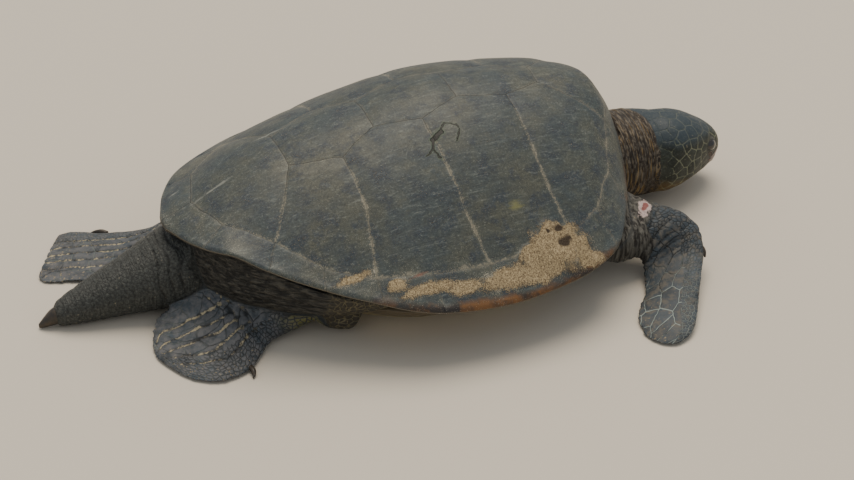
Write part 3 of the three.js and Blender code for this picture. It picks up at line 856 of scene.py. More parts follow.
class Net:
    """A mesh's vertices and the edges between them."""

    def __init__(self, mesh: bpy.types.Mesh) -> None:
        """Reads the mesh's edges."""
        ends = np.empty(len(mesh.edges) * 2, np.int64)
        mesh.edges.foreach_get("vertices", ends)
        self.first, self.second = ends.reshape(-1, 2).T
        self.size = len(mesh.vertices)
        self.count = np.maximum(np.bincount(ends, minlength=self.size), 1)

    def averaged(self, values: np.ndarray, times: int = 1, share: float = 0.5) -> np.ndarray:
        """Values evened out between neighbours.

        Args:
            values: A number or a row per vertex.
            times: How often each vertex moves towards its neighbours' mean.
            share: How far it moves each time, as a share.

        Returns:
            The new values.
        """
        columns = values.reshape(self.size, -1).T.copy()
        for _ in range(times):
            for i, column in enumerate(columns):
                total = np.bincount(self.first, column[self.second], self.size)
                total += np.bincount(self.second, column[self.first], self.size)
                columns[i] = column + share * (total / self.count - column)
        return columns.T.reshape(values.shape)


def noise_at(points: np.ndarray, size: float) -> np.ndarray:
    """Smooth noise between -1 and 1 with bumps of about one size, at points in the same unit."""
    return np.array([noise.noise(point) for point in (points / size).tolist()])


def folds(phase: np.ndarray, sharpness: float = 0.6) -> np.ndarray:
    """Rounded rolls parted by sharp creases: 0 in each crease, once per unit of phase, and 1 between."""
    return np.abs(np.sin(math.pi * phase)) ** sharpness


@dataclass
class Scutes:
    """The scales of the head, in the head's own frame: behind the beak's tip, to the side and up."""

    crown: Rows = (
        (14, 0, 20), (22, 12, 31), (46, 0, 50), (58, 27, 45), (84, 0, 64), (112, 22, 66), (136, 0, 74),
        (88, 38, 54), (113, 49, 50), (142, 34, 66), (40, 27, 32),
    )
    cheek: Rows = (
        (74, 52, 34), (80, 60, 18), (79, 60, 2), (70, 55, -12), (52, 50, -8), (60, 53, -26), (30, 38, 8),
        (18, 28, 8), (93, 63, 30), (97, 68, 12), (95, 68, -6), (86, 64, -22), (76, 60, -38),
    )
    spacing: float = 19
    seed: int = 7

    def places(self, samples: np.ndarray) -> np.ndarray:
        """All the scales' middles on one side.

        Args:
            samples: Points on the head's surface, in its own frame.

        Returns:
            The middles, with those past the placed ones spread evenly over the surface.
        """
        chosen = [np.array((-back, left, up)) for back, left, up in self.crown + self.cheek]
        order = np.random.default_rng(self.seed).permutation(len(samples))
        for point in samples[order]:
            point[1] = abs(point[1])
            closer = 0.6 if point[0] < -166 and point[2] < 50 else 0.75 if point[2] < -45 else 1
            wide = self.spacing * closer
            if point[1] > 5 and np.linalg.norm(np.array(chosen) - point, axis=1).min() > wide:
                chosen.append(point)
        return np.array(chosen)

    def edges(self, points: np.ndarray, samples: np.ndarray) -> tuple[np.ndarray, np.ndarray]:
        """Where points lie among the scales.

        Args:
            points: Points in the head's frame.
            samples: Points on the head's surface.

        Returns:
            The distance to the nearest gap between scales, and a number from 0 to 1 for the scale.
        """
        half = self.places(samples)
        middles = np.vstack([half, half[half[:, 1] > 0.1] * (1, -1, 1)])
        tree = KDTree(len(middles))
        for i, middle in enumerate(middles.tolist()):
            tree.insert(middle, i)
        tree.balance()
        gap, number = np.empty(len(points)), np.empty(len(points))
        for i, point in enumerate(points.tolist()):
            (a, index, near), (b, _, far) = tree.find_n(point, 2)
            gap[i] = (far * far - near * near) / max(2 * (a - b).length, 1e-6)
            number[i] = abs(middles[index][0] * 0.37 + middles[index][2] * 0.61) % 1
        return gap, number


@dataclass
class Skin:
    """One skin over the trunk, neck, head, limbs and tail."""

    shell: Carapace
    plastron: Plastron
    head: Head
    trunk: Rows = (
        (418, 110, 60, 168), (395, 190, 36, 200), (340, 262, 24, 300), (220, 318, 22, 380), (0, 336, 22, 400),
        (-180, 296, 22, 360), (-300, 215, 28, 300), (-370, 140, 44, 220), (-408, 70, 66, 176),
    )
    bulges: tuple[tuple[tuple[float, ...], tuple[float, ...]], ...] = (
        ((-150, 196, 46), (82, 44, 42)), ((364, 212, 76), (60, 52, 50)),
    )
    neck: Rows = (
        (290, 5, 112, 96, 80, 94), (380, 8, 106, 94, 80, 95), (440, 12, 102, 91, 81, 96),
        (495, 12, 99, 87, 81, 94), (540, 6, 97, 81, 79, 90), (580, -2, 93, 68, 68, 82),
    )
    tail: Rows = (
        (-290, 0, 96, 88, 70, 74), (-380, 2, 88, 84, 70, 76), (-440, 4, 80, 78, 68, 76),
        (-480, 5, 70, 67, 60, 68), (-520, 6, 59, 55, 50, 58), (-565, 7, 48, 45, 41, 48),
        (-605, 7, 38, 36, 32, 38), (-635, 7, 31, 28, 25, 31), (-655, 7, 26, 20, 18, 26),
        (-664, 7, 22, 6, 6, 10),
    )
    front: tuple = (
        ((330, 60, 110), (330, 200, 90), 50, 56), ((395, 118, 112), (345, 245, 70), 48, 54),
        ((450, 177, 104), (378, 256, 55), 42, 46), ((502, 209, 92), (398, 254, 38), 35, 34),
        ((526, 242, 68), (398, 258, 24), 26, 24), ((517, 282, 50), (390, 277, 15), 20, 20),
        ((487, 333, 38), (377, 309, 11), 17, 16), ((456, 384, 27), (345, 348, 8), 15, 13),
        ((428, 430, 18), (321, 387, 6), 13, 11), ((404, 458, 12), (317, 425, 5), 11, 9),
        ((382, 470, 8), (328, 453, 5), 8, 8), ((362, 474, 6), (342, 467, 5), 4, 5),
    )
    hind_right: tuple = (
        ((-150, 210, 84), (-190, 90, 96), 52, 56), ((-216, 195, 40), (-262, 120, 98), 46, 50),
        ((-253, 189, 22), (-302, 122, 94), 36, 42), ((-289, 189, 12), (-340, 108, 86), 27, 34),
        ((-319, 201, 9), (-374, 94, 76), 20, 25), ((-341, 227, 7), (-406, 80, 66), 16, 20),
        ((-378, 263, 6), (-432, 70, 52), 13, 16), ((-426, 274, 6), (-466, 62, 36), 11, 13),
        ((-474, 251, 5), (-494, 66, 20), 9, 10), ((-502, 212, 5), (-515, 104, 9), 7, 7),
        ((-517, 177, 4), (-525, 143, 6), 4, 4),
    )
    hind_left: tuple = (
        ((-190, 220, 84), (-220, 90, 90), 50, 54), ((-270, 205, 74), (-300, 80, 84), 44, 48),
        ((-340, 196, 56), (-370, 70, 68), 34, 40), ((-400, 190, 38), (-430, 62, 50), 26, 32),
        ((-440, 210, 23), (-480, 72, 30), 20, 24), ((-473, 231, 15), (-522, 87, 15), 17, 17),
        ((-504, 247, 11), (-559, 100, 9), 14, 14), ((-532, 268, 8), (-600, 114, 6), 12, 11),
        ((-562, 283, 6), (-635, 126, 5), 10, 9), ((-582, 283, 5), (-656, 138, 5), 8, 7),
        ((-593, 270, 5), (-662, 154, 5), 5, 5),
    )
    voxel: float = 4.0
    box: tuple[tuple[float, ...], tuple[float, ...]] = ((-689, -473.5, 0.5), (695.5, 473.5, 350))
    neck_fold: float = 17
    tail_fold: float = 21
    arm_fold: float = 19
    scallop: float = 21

    def parts(self) -> list[Part]:
        """The soft parts, each as rings."""
        middle = tuple(
            (x, 0, (low + high) / 2, wide, (high - low) / 2, (high - low) / 2)
            for x, wide, low, high in self.trunk
        )
        return [
            Barrel("trunk", middle, 0.7).part(),
            Barrel("neck", self.neck).part(),
            self.head.part(),
            Barrel("tail", self.tail).part(),
            *[Limb("front", side, self.front).part() for side in Side],
            Limb("hind", Side.LEFT, self.hind_left).part(),
            Limb("hind", Side.RIGHT, self.hind_right).part(),
        ]

    def remeshed(self, parts: Sequence[Part]) -> bpy.types.Object:
        """The parts grown together into one even mesh."""
        whole = bmesh.new()
        for part in parts:
            tube, copy = part.mesh(), bpy.data.meshes.new("part")
            tube.to_mesh(copy)
            tube.free()
            whole.from_mesh(copy)
            bpy.data.meshes.remove(copy)
        for (x, y, z), radii in self.bulges:
            for side in Side:
                place = Matrix.Translation((x, y * side.value, z)) @ Matrix.Diagonal((*radii, 1))
                bmesh.ops.create_uvsphere(whole, u_segments=32, v_segments=20, radius=1, matrix=place)
        piece = new_object("skin", whole)
        remesh = piece.modifiers.new("grow together", "REMESH")
        remesh.mode, remesh.voxel_size, remesh.use_smooth_shade = "VOXEL", self.voxel * MM, True
        apply_modifiers(piece)
        return piece

    def confined(self, points: np.ndarray) -> np.ndarray:
        """Points kept under the shell, above the plastron and inside the model's box."""
        x, y, z = points.T
        z = np.minimum(z, self.shell.ceiling(x, y))
        tray = self.plastron.under(x, y) + self.plastron.thickness + 1.2
        z = np.where(self.plastron.inside(x, y, -2.5), np.maximum(z, tray), z)
        return np.clip(np.stack([x, y, z], axis=1), *self.box)

    def opened(self, piece: bpy.types.Object) -> None:
        """Swaps the parts of the skin that lie hidden against shell and plastron for plain faces."""
        points = points_of(piece.data) / MM
        x, y, z = points.T
        deep = np.abs(self.shell.rim_share(x, y)) < 0.95
        above = deep & (np.abs(x) < 425) & (z > self.shell.ceiling(x, y) - 4)
        tray = self.plastron.under(x, y) + self.plastron.thickness + 1.2
        below = self.plastron.inside(x, y, 12) & (z < tray + 16)
        hidden = above | below
        bm = bmesh.new()
        bm.from_mesh(piece.data)
        gone = [face for face in bm.faces if all(hidden[v.index] for v in face.verts)]
        bmesh.ops.delete(bm, geom=gone, context="FACES")
        filled = bmesh.ops.holes_fill(bm, edges=[edge for edge in bm.edges if edge.is_boundary])["faces"]
        bmesh.ops.triangulate(bm, faces=filled)
        bm.to_mesh(piece.data)
        bm.free()

    def thinned(self, piece: bpy.types.Object) -> None:
        """Leaves fewer faces where the skin lies deep under the shell."""
        x, y, _ = (points_of(piece.data) / MM).T
        deep = (np.abs(self.shell.rim_share(x, y)) < 0.88) & (np.abs(x) < 432)
        group = piece.vertex_groups.new(name="deep")
        group.add(np.flatnonzero(deep).tolist(), 1.0, "REPLACE")
        thin = piece.modifiers.new("thin", "DECIMATE")
        thin.vertex_group, thin.ratio = group.name, 1 - 0.75 * float(deep.mean())
        apply_modifiers(piece)
        piece.vertex_groups.clear()

    def refined(self, piece: bpy.types.Object) -> None:
        """Divides the skin more finely over the head, and most finely round the eyes."""
        for reach in (None, 27, 17.5):
            q = self.head.local(points_of(piece.data) / MM)
            if reach is None:
                wanted = (q[:, 0] > -158) & (q[:, 2] > -80)
            else:
                gaps = [np.linalg.norm(q - self.head.eye_centre(side), axis=1) for side in Side]
                wanted = np.minimum(*gaps) < reach
            bm = bmesh.new()
            bm.from_mesh(piece.data)
            edges = [edge for edge in bm.edges if all(wanted[v.index] for v in edge.verts)]
            bmesh.ops.subdivide_edges(bm, edges=edges, cuts=1, use_grid_fill=True)
            bmesh.ops.triangulate(bm, faces=[face for face in bm.faces if len(face.verts) > 4])
            bm.to_mesh(piece.data)
            bm.free()
            points = points_of(piece.data)
            place_points(piece.data, Net(piece.data).averaged(points, 2))

    def flow(self, points: np.ndarray, parts: Sequence[Part]) -> tuple[np.ndarray, np.ndarray]:
        """Where each point of the skin lies on the part under it.

        Args:
            points: Vertices in the row frame.
            parts: The soft parts.

        Returns:
            Rows of place along and round the part and share of the way round, and the part's number.
        """
        count = sum(part.along.size for part in parts)
        tree, values, owner = KDTree(count), np.empty((count, 3)), np.empty(count, int)
        at = 0
        for number, part in enumerate(parts):
            size = part.along.size
            widest = np.maximum(part.around.max(axis=1, keepdims=True), 1)
            rows = np.stack([part.along, part.around, part.around / widest], axis=-1).reshape(-1, 3)
            values[at : at + size], owner[at : at + size] = rows, number
            for i, place in enumerate(part.rings.reshape(-1, 3).tolist()):
                tree.insert(place, at + i)
            at += size
        tree.balance()
        found, mine = np.empty((len(points), 3)), np.empty(len(points), int)
        for i, point in enumerate(points.tolist()):
            near = tree.find_n(point, 5)
            mine[i] = owner[near[0][1]]
            share = [(1 / (gap + 0.5) ** 2, index) for _, index, gap in near if owner[index] == mine[i]]
            total = sum(weight for weight, _ in share)
            found[i] = sum(weight * values[index] for weight, index in share) / total
        return found, mine

    def build(self) -> bpy.types.Object:
        """The skin, with folds, eyelids and places for its finish."""
        parts = self.parts()
        piece = self.remeshed(parts)
        log.info("skin: %d vertices from the parts", len(piece.data.vertices))
        net = Net(piece.data)
        points = net.averaged(points_of(piece.data) / MM, 8)
        points = self.confined(net.averaged(self.confined(points), 2))
        place_points(piece.data, points * MM)
        self.opened(piece)
        log.info("skin: %d vertices after opening", len(piece.data.vertices))
        self.thinned(piece)
        log.info("skin: %d vertices after thinning", len(piece.data.vertices))
        self.refined(piece)
        log.info("skin: %d vertices after refining", len(piece.data.vertices))
        mesh = piece.data
        net, points = Net(mesh), points_of(mesh) / MM
        places, number = self.flow(points, parts)
        kinds = [part.name for part in parts]
        zones = {
            kind: net.averaged(np.array([name == kind for name in kinds], float)[number], 12)
            for kind in ("neck", "head", "tail", "front", "hind", "trunk")
        }
        local = self.head.local(points)
        border = -186 - 0.3 * np.minimum(local[:, 2], 0) + 5 * noise_at(points, 20)
        ahead = smooth_share(-7, 7, local[:, 0] - border)
        soft = zones["neck"] + zones["head"]
        zones["head"], zones["neck"] = soft * ahead, soft * (1 - ahead)
        smoothed = net.averaged(places, 3)
        height, crease = self.relief(points, smoothed, zones)
        points = points + points_of(mesh, "normal") * height[:, None]
        points = self.confined(self.head.shape(points))
        place_points(mesh, points * MM)
        local = self.head.local(points)
        gap, tone = np.full(len(points), 9.0), np.zeros(len(points))
        near = np.flatnonzero(zones["head"] > 0.02)
        gap[near], tone[near] = Scutes().edges(local[near], local[near[::9]])
        keep_value(mesh, "flow", np.column_stack([smoothed[:, :2] * MM, smoothed[:, 2]]))
        keep_value(mesh, "zone", np.column_stack([zones["neck"], zones["head"], zones["tail"]]))
        keep_value(mesh, "limb", np.column_stack([zones["front"], zones["hind"], zones["trunk"]]))
        keep_value(mesh, "skull", local * MM)
        keep_value(mesh, "scute", np.column_stack([gap * MM, tone, crease]))
        return piece

    def relief(
        self, points: np.ndarray, places: np.ndarray, zones: dict[str, np.ndarray]
    ) -> tuple[np.ndarray, np.ndarray]:
        """The skin's folds and the scallops of its flippers.

        Args:
            points: Vertices in the row frame.
            places: Place along and round the part and share of the way round, for each.
            zones: How far each vertex belongs to each part.

        Returns:
            How far the skin stands out at each point, and how deep in a crease it lies, from 0 to 1.
        """
        along, _, share = places.T
        wander = noise_at(points, 55)
        neck = folds(along / self.neck_fold + 0.9 * wander + 0.15 * noise_at(points, 16))
        tail = 1 - folds(along / self.tail_fold + 0.9 * wander, 0.45)
        tail = 1 - tail * (1 - 0.6 * smooth_share(170, 230, along))
        rays = folds(share * 8 + 0.3 * wander + 0.12 * noise_at(points, 20), 0.5)
        arm = folds(along / self.arm_fold + 0.7 * wander, 0.45)
        scallops = folds(along / self.scallop, 0.5) * smooth_share(0.9, 0.98, share)
        x = points[:, 0]
        loose = folds(x / 24 + wander)
        behind = smooth_share(190, 230, -x)
        hip = folds(points[:, 2] / 19 + 0.9 * wander + x / 160, 0.45) * behind
        base = 1 - smooth_share(190, 245, along)
        blade = smooth_share(0.1, 0.25, share) * (1 - smooth_share(0.8, 0.95, share))
        blade = blade * smooth_share(150, 210, along)
        strong = 0.55 + 0.45 * smooth_share(0.1, 0.6, share)
        limbs = zones["front"] + zones["hind"]
        height = (
            zones["neck"] * (neck * 3.2 - 2.0) + zones["tail"] * (tail * 4.4 - 3.0)
            + limbs * (base * strong * (arm * 4.6 - 3.0) + (1 - base) * (scallops * 3.2 - 1.8))
            + zones["hind"] * blade * (rays * 3.6 - 2.2)
            + zones["trunk"] * ((loose * 4 - 2.4) * (x > 250) + hip * 4.5)
            - 2.5 * zones["trunk"] * behind + 0.35 * noise_at(points, 9)
        )
        crease = (
            zones["neck"] * (1 - neck) * 0.5 + zones["tail"] * (1 - tail)
            + limbs * base * strong * (1 - arm) + zones["hind"] * blade * (1 - rays)
            + zones["trunk"] * behind * (1 - hip)
        )
        return height, crease


# ---------------------------------------------------------------- horn and eyes
@dataclass
class Sheath:
    """One half of the beak, as a shell laid over the skin of the snout."""

    name: str
    upper: Curve
    lower: Curve
    back: float = 44
    columns: int = 72
    rows: int = 12
    proud: float = 1.4
    deep: float = 2.0
    centre: float = 36

    def build(self, head: Head, skin: bpy.types.Object) -> bpy.types.Object:
        """The half, following the skin.

        Args:
            head: The head that gives the snout's frame.
            skin: The skin to lie on.

        Returns:
            The closed piece.
        """
        mesh = skin.data
        corners = [Vector(point) for point in head.local(points_of(mesh) / MM).tolist()]
        tree = BVHTree.FromPolygons(corners, [tuple(face.vertices) for face in mesh.polygons])
        bm = bmesh.new()
        bmesh.ops.create_grid(bm, x_segments=self.columns, y_segments=self.rows, size=1)
        limit = math.atan2(34, -(self.back - self.centre)) * 0.985
        for vert in bm.verts:
            turn, level = vert.co.x * limit, (vert.co.y + 1) / 2
            share = abs(vert.co.x)
            low, high = float(self.lower(share)), float(self.upper(share))
            up = low + (high - low) * level
            ray = Vector((math.cos(turn), math.sin(turn), 0))
            start = Vector((-self.centre, 0, up))
            hit, normal, _, _ = tree.ray_cast(start + ray * 120, -ray)
            rim = min(level, 1 - level, (1 - share) * 4)
            vert.co = hit + normal * (self.proud * min(1, 0.35 + rim * 4))
        bmesh.ops.recalc_face_normals(bm, faces=bm.faces[:])
        middle = sum((v.co for v in bm.verts), Vector()) / len(bm.verts)
        if sum((face.calc_center_median() - middle).dot(face.normal) for face in bm.faces) < 0:
            bmesh.ops.reverse_faces(bm, faces=bm.faces[:])
        bmesh.ops.solidify(bm, geom=bm.faces[:], thickness=self.deep)
        bmesh.ops.recalc_face_normals(bm, faces=bm.faces[:])
        bmesh.ops.transform(bm, matrix=head.matrix(), verts=bm.verts[:])
        return new_object(self.name, bm)


@dataclass
class Claw:
    """A claw that tapers along its run."""

    name: str
    side: Side
    rows: Rows
    sides: int = 20

    def build(self) -> bpy.types.Object:
        """The claw."""
        table = resampled(self.rows, 6)
        path = table[:, :3] * (1, self.side.value, 1)
        onward = np.vstack([path[1:], path[-1:]]) - np.vstack([path[:1], path[:-1]])
        rings = []
        for centre, way, radius in zip(path, onward, table[:, 3]):
            across = Vector(way).cross(Vector((0, 0, 1))).normalized()
            up = across.cross(Vector(way)).normalized()
            c, h = section(self.sides)
            rings.append([Vector(centre) + across * radius * a + up * radius * b for a, b in zip(c, h)])
        bm = loft(rings)
        for vert in bm.verts:
            vert.co.z = max(vert.co.z, 0.4)
        return new_object(self.name, bm)


@dataclass
class Horn:
    """The claws, the tail's nail and the eyes."""

    front: Rows = ((502, 260, 54, 5), (511, 271, 50, 6), (514, 281, 45, 4.5), (512, 291, 39, 1.5))
    hind_right: Rows = ((-372, 250, 9, 4), (-371, 261, 8, 5), (-372, 269, 5.5, 3.5), (-376, 276, 3, 1.2))
    hind_left: Rows = ((-496, 238, 12, 4), (-504, 247, 11, 5), (-514, 255, 8.5, 3.5), (-524, 260, 5, 1.2))
    nail: Rows = (
        (-648, 7, 25, 17, 17, 20), (-664, 7, 21, 14, 14, 17), (-678, 7, 14, 9, 9, 12),
        (-689.8, 8, 7, 3, 3, 5),
    )

    def claws(self) -> list[bpy.types.Object]:
        """The four claws."""
        made = [Claw(f"front_claw_{side.word}_tip", side, self.front).build() for side in Side]
        made.append(Claw("hind_claw_left_tip", Side.LEFT, self.hind_left).build())
        made.append(Claw("hind_claw_right_tip", Side.RIGHT, self.hind_right).build())
        return made

    def tail_nail(self) -> bpy.types.Object:
        """The nail at the end of the tail."""
        return new_object("tail_nail_tip", Barrel("tail_nail", self.nail, sides=28).part().mesh())

    def eye(self, head: Head, side: Side) -> bpy.types.Object:
        """One eyeball."""
        bm = bmesh.new()
        place = head.matrix() @ Matrix.Translation(Vector(head.eye_centre(side)))
        bmesh.ops.create_uvsphere(bm, u_segments=40, v_segments=24, radius=head.eye_radius, matrix=place)
        piece = new_object(f"eyeball_{side.word}", bm)
        out = (head.local(points_of(piece.data) / MM) - head.eye_centre(side)) / head.eye_radius
        keep_value(piece.data, "iris", np.arccos(np.clip(out @ head.gaze(side), -1, 1)))
        return piece


# ---------------------------------------------------------------- finishes
def srgb(code: str) -> tuple[float, float, float, float]:
    """A colour of the shader nodes from its sRGB hex code."""
    parts = [int(code[i : i + 2], 16) / 255 for i in (0, 2, 4)]
    return (*[v / 12.92 if v <= 0.04045 else ((v + 0.055) / 1.055) ** 2.4 for v in parts], 1.0)


class Paint:
    """A material's node tree while it is laid out."""

    def __init__(self, name: str) -> None:
        """Starts an empty material."""
        self.material = bpy.data.materials.new(name)
        self.material.use_nodes = True
        self.tree = self.material.node_tree
        self.tree.nodes.clear()

    def put(self, kind: str, inputs: dict | None = None, out: int | str = 0, **settings: object) -> Socket:
        """Adds one node.

        Args:
            kind: The node's type, without "ShaderNode".
            inputs: Values or sockets for its inputs, by name or number.
            out: The output wanted, by name or number.
            settings: The node's own settings.

        Returns:
            The output.
        """
        node = self.tree.nodes.new("ShaderNode" + kind)
        for key, value in settings.items():
            setattr(node, key, value)
        for key, value in (inputs or {}).items():
            if isinstance(value, bpy.types.NodeSocket):
                self.tree.links.new(value, node.inputs[key])
            else:
                node.inputs[key].default_value = value
        return node.outputs[out] if node.outputs else node

    def coat(
        self, under: Socket | str, tint: Socket | str, value: Socket, start: float, end: float,
        most: float = 1.0, by: Socket | None = None,
    ) -> Socket:
        """Lays one colour over another where a value runs from a start to an end.

        Args:
            under: The colour below, as a socket or an sRGB hex code.
            tint: The colour on top, likewise.
            value: The value that decides.
            start: Where the top colour begins to show.
            end: Where it shows most.
            most: How much it shows there.
            by: A share that weakens it.

        Returns:
            The colour.
        """
        share = self.put("MapRange", {"Value": value, "From Min": start, "From Max": end, "To Max": most})
        if by is not None:
            share = self.put("Math", {0: share, 1: by}, operation="MULTIPLY")
        below, above = (srgb(colour) if isinstance(colour, str) else colour for colour in (under, tint))
        return self.put("Mix", {0: share, 6: below, 7: above}, 2, data_type="RGBA")


@dataclass(frozen=True)
class ShellHorn:
    """Keratin of the upper shell: slate and olive, streaked and scuffed lengthways, with pale worn seams.

    Sizes are in millimetres.
    """

    name: str
    rim_band: bool
    slate: str = "3b4547"
    olive: str = "4c4e44"
    blue: str = "2d3843"
    moss: str = "5a5c50"
    deep: str = "23292c"
    worn: str = "8f958d"
    seam: str = "918b7a"
    sand: str = "cbb791"
    grit: str = "c9c3b1"
    grain: str = "6f5f47"
    damp: str = "2e2420"
    # ochre and brown: the rim band's own colours, darkened as painted shade for a band that faces down
    ochre: str = "6c4822"
    brown: str = "2d2117"
    black: str = "1b1a1b"
    # under: painted shade on the rim plates' undersides
    under: str = "3a3226"
    edge: str = "a39b86"
    chipped: str = "4d5a48"
    split: str = "12140f"
    cloud: float = 110
    patch: float = 38
    spots: tuple[tuple[float, float, float, float, str], ...] = (
        (136, -246, 17, 8, "7c7b4c"), (-69, -300, 20, 3, "7a4634"), (-225, 62, 34, 3, "8f918a"),
        (-352, -8, 44, 3.5, "8c8e86"), (-410, 56, 14, 5, "979a92"),
    )
    crack: tuple[tuple[tuple[float, float, float], tuple[float, float, float], float], ...] = (
        ((60, -99, 328), (46, -112, 321), 2.2), ((46, -112, 321), (29, -121, 313), 4.2),
        ((29, -121, 313), (24, -137, 305), 2.6), ((24, -137, 305), (6, -143, 298), 1.4),
        ((60, -99, 328), (80, -106, 326), 1.3), ((80, -106, 326), (83, -116, 321), 1.2),
        ((83, -116, 321), (69, -136, 310), 1.5), ((24, -137, 305), (31, -158, 293), 1.6),
    )

    def material(self) -> bpy.types.Material:
        """The finish as a material."""
        paint = Paint(self.name)
        put = paint.put
        place = put("TexCoord", out="Object")
        marks, edges = (
            put("SeparateXYZ", {0: put("Attribute", out="Vector", attribute_name=name)}).node.outputs
            for name in ("marks", "edges")
        )
        broad = {"Vector": place, "Scale": 1000 / self.cloud, "Detail": 5, "Roughness": 0.62}
        clouds = put("TexNoise", broad)
        patches = put("TexNoise", {**broad, "Scale": 1000 / self.patch, "Detail": 6, "Roughness": 0.68})
        long = put("VectorMath", {0: place, 1: (20, 170, 170)}, operation="MULTIPLY")
        streaks = put("TexNoise", {"Vector": long, "Scale": 1, "Detail": 6, "Roughness": 0.7})
        dust = put("TexNoise", {"Vector": place, "Scale": 760, "Detail": 2})
        grit = put("TexNoise", {"Vector": place, "Scale": 260, "Detail": 5, "Roughness": 0.75})
        colour = self.streaked(paint, place, clouds, patches, streaks, grit)
        colour = self.seamed(paint, colour, place, edges, patches, grit)
        colour = self.spotted(paint, colour, place, patches, streaks)
        height = put("Math", {0: patches, 1: 0.0012}, operation="MULTIPLY")
        height = put("Math", {0: streaks, 1: 0.0005, 2: height}, operation="MULTIPLY_ADD")
        height = put("Math", {0: dust, 1: 0.00025, 2: height}, operation="MULTIPLY_ADD")
        if self.rim_band:
            colour = self.banded(paint, colour, edges, marks, patches, clouds, place)
        colour, height = self.cracked(paint, colour, height, place)
        colour = self.dusted(paint, colour, marks, edges, clouds, dust)
        colour, height, crust = self.caked(paint, colour, height, place, marks, patches, dust)
        shine = put("Math", {0: patches, 1: 0.3, 2: 0.38}, operation="MULTIPLY_ADD")
        shine = put("Math", {0: crust, 1: 0.5, 2: shine}, operation="MULTIPLY_ADD", use_clamp=True)
        bump = put("Bump", {"Height": height, "Distance": 1.0, "Strength": 0.8})
        shader = put("BsdfPrincipled", {"Base Color": colour, "Roughness": shine, "Normal": bump})
        put("OutputMaterial", {"Surface": shader})
        return paint.material

    def streaked(
        self, paint: Paint, place: Socket, clouds: Socket, patches: Socket, streaks: Socket, grit: Socket
    ) -> Socket:
        """The base colour, from the broad clouds down to the fine streaks and scratches."""
        put, coat = paint.put, paint.coat
        hair = put("VectorMath", {0: place, 1: (42, 620, 620)}, operation="MULTIPLY")
        scratches = put("TexNoise", {"Vector": hair, "Scale": 1, "Detail": 3, "Distortion": 0.4})
        turned = put("VectorRotate", {"Vector": place, "Axis": (0, 0, 1), "Angle": 0.9})
        across = put("VectorMath", {0: turned, 1: (38, 700, 700)}, operation="MULTIPLY")
        crossing = put("TexNoise", {"Vector": across, "Scale": 1, "Detail": 2, "Distortion": 0.6})
        mottled = put("Math", {0: streaks, 1: 0.35, 2: patches}, operation="MULTIPLY_ADD")
        scuffed = put("MapRange", {"Value": patches, "From Min": 0.4, "From Max": 0.6})
        colour: Socket | str = self.slate
        for tint, value, start, end, most, by in (
            (self.olive, clouds, 0.4, 0.62, 1.0, None),
            (self.blue, patches, 0.5, 0.62, 0.85, None),
            (self.moss, mottled, 0.62, 0.5, 0.6, None),
            (self.deep, streaks, 0.52, 0.3, 0.55, None),
            (self.worn, streaks, 0.56, 0.72, 0.4, None),
            (self.worn, scratches, 0.62, 0.74, 0.6, scuffed),
            (self.worn, crossing, 0.69, 0.76, 0.5, None),
            (self.deep, grit, 0.48, 0.36, 0.68, None),
            (self.worn, grit, 0.57, 0.68, 0.42, None),
        ):
            colour = coat(colour, tint, value, start, end, most, by)
        return colour

    def seamed(
        self, paint: Paint, colour: Socket, place: Socket, edges: Sockets, patches: Socket, grit: Socket
    ) -> Socket:
        """Worn bands along the seams, and the dark line in each."""
        put = paint.put
        rough = put("Math", {0: patches, 1: 0.012, 2: -0.0045}, operation="MULTIPLY_ADD")
        near = put("Math", {0: edges["X"], 1: rough}, operation="ADD")
        near = put("Math", {0: grit, 1: 0.024, 2: near}, operation="MULTIPLY_ADD")
        outwards = put("Math", {0: put("SeparateXYZ", {0: place}, "Y")}, operation="ABSOLUTE")
        outwards = put("MapRange", {"Value": outwards, "From Min": 0.07, "From Max": 0.13, "To Min": 0.35})
        strong = put("Math", {0: outwards, 1: 0.3 if self.rim_band else 1.0}, operation="MULTIPLY")
        colour = paint.coat(colour, self.seam, near, 0.0165, 0.013, 0.85, strong)
        faint = {"Value": outwards, "From Min": 1.0, "From Max": 0.35, "To Min": 0.15, "To Max": 0.6}
        return paint.coat(colour, self.deep, edges["X"], 0.0013, 0.0004, by=put("MapRange", faint))

    def spotted(
        self, paint: Paint, colour: Socket, place: Socket, patches: Socket, streaks: Socket
    ) -> Socket:
        """The scuffed spots, each with its own tint."""
        put = paint.put
        for x, y, wide, deep, tint in self.spots:
            near = put("VectorMath", {0: place, 1: (x * MM, y * MM, 0)}, operation="SUBTRACT")
            size = (1 / (wide * MM), 1 / (deep * MM), 0)
            near = put("VectorMath", {0: near, 1: size}, operation="MULTIPLY")
            near = put("VectorMath", {0: near}, "Value", operation="LENGTH")
            ragged = put("Math", {0: patches, 1: streaks}, operation="ADD")
            near = put("Math", {0: ragged, 1: 2.4, 2: near}, operation="MULTIPLY_ADD")
            colour = paint.coat(colour, tint, near, 3.3, 2.5, 0.75)
        return colour

    def dusted(
        self, paint: Paint, colour: Socket, marks: Sockets, edges: Sockets, clouds: Socket, dust: Socket
    ) -> Socket:
        """Loose grains of sand: near the crust, in the seams, towards the rim and in some clouds."""
        put = paint.put
        loose = put("Math", {0: marks["X"], 1: 0.5, 2: 0.02}, operation="MULTIPLY_ADD")
        for value, start, end, most in (
            (edges["X"], 0.012, 0, 0.03), (edges["Y"], 0.11, 0.02, 0.045), (clouds, 0.42, 0.62, 0.04),
        ):
            share = put("MapRange", {"Value": value, "From Min": start, "From Max": end})
            loose = put("Math", {0: share, 1: most, 2: loose}, operation="MULTIPLY_ADD")
        loose = put("Math", {0: dust, 1: loose}, operation="ADD")
        return paint.coat(colour, self.grit, loose, 0.755, 0.785, 0.85)

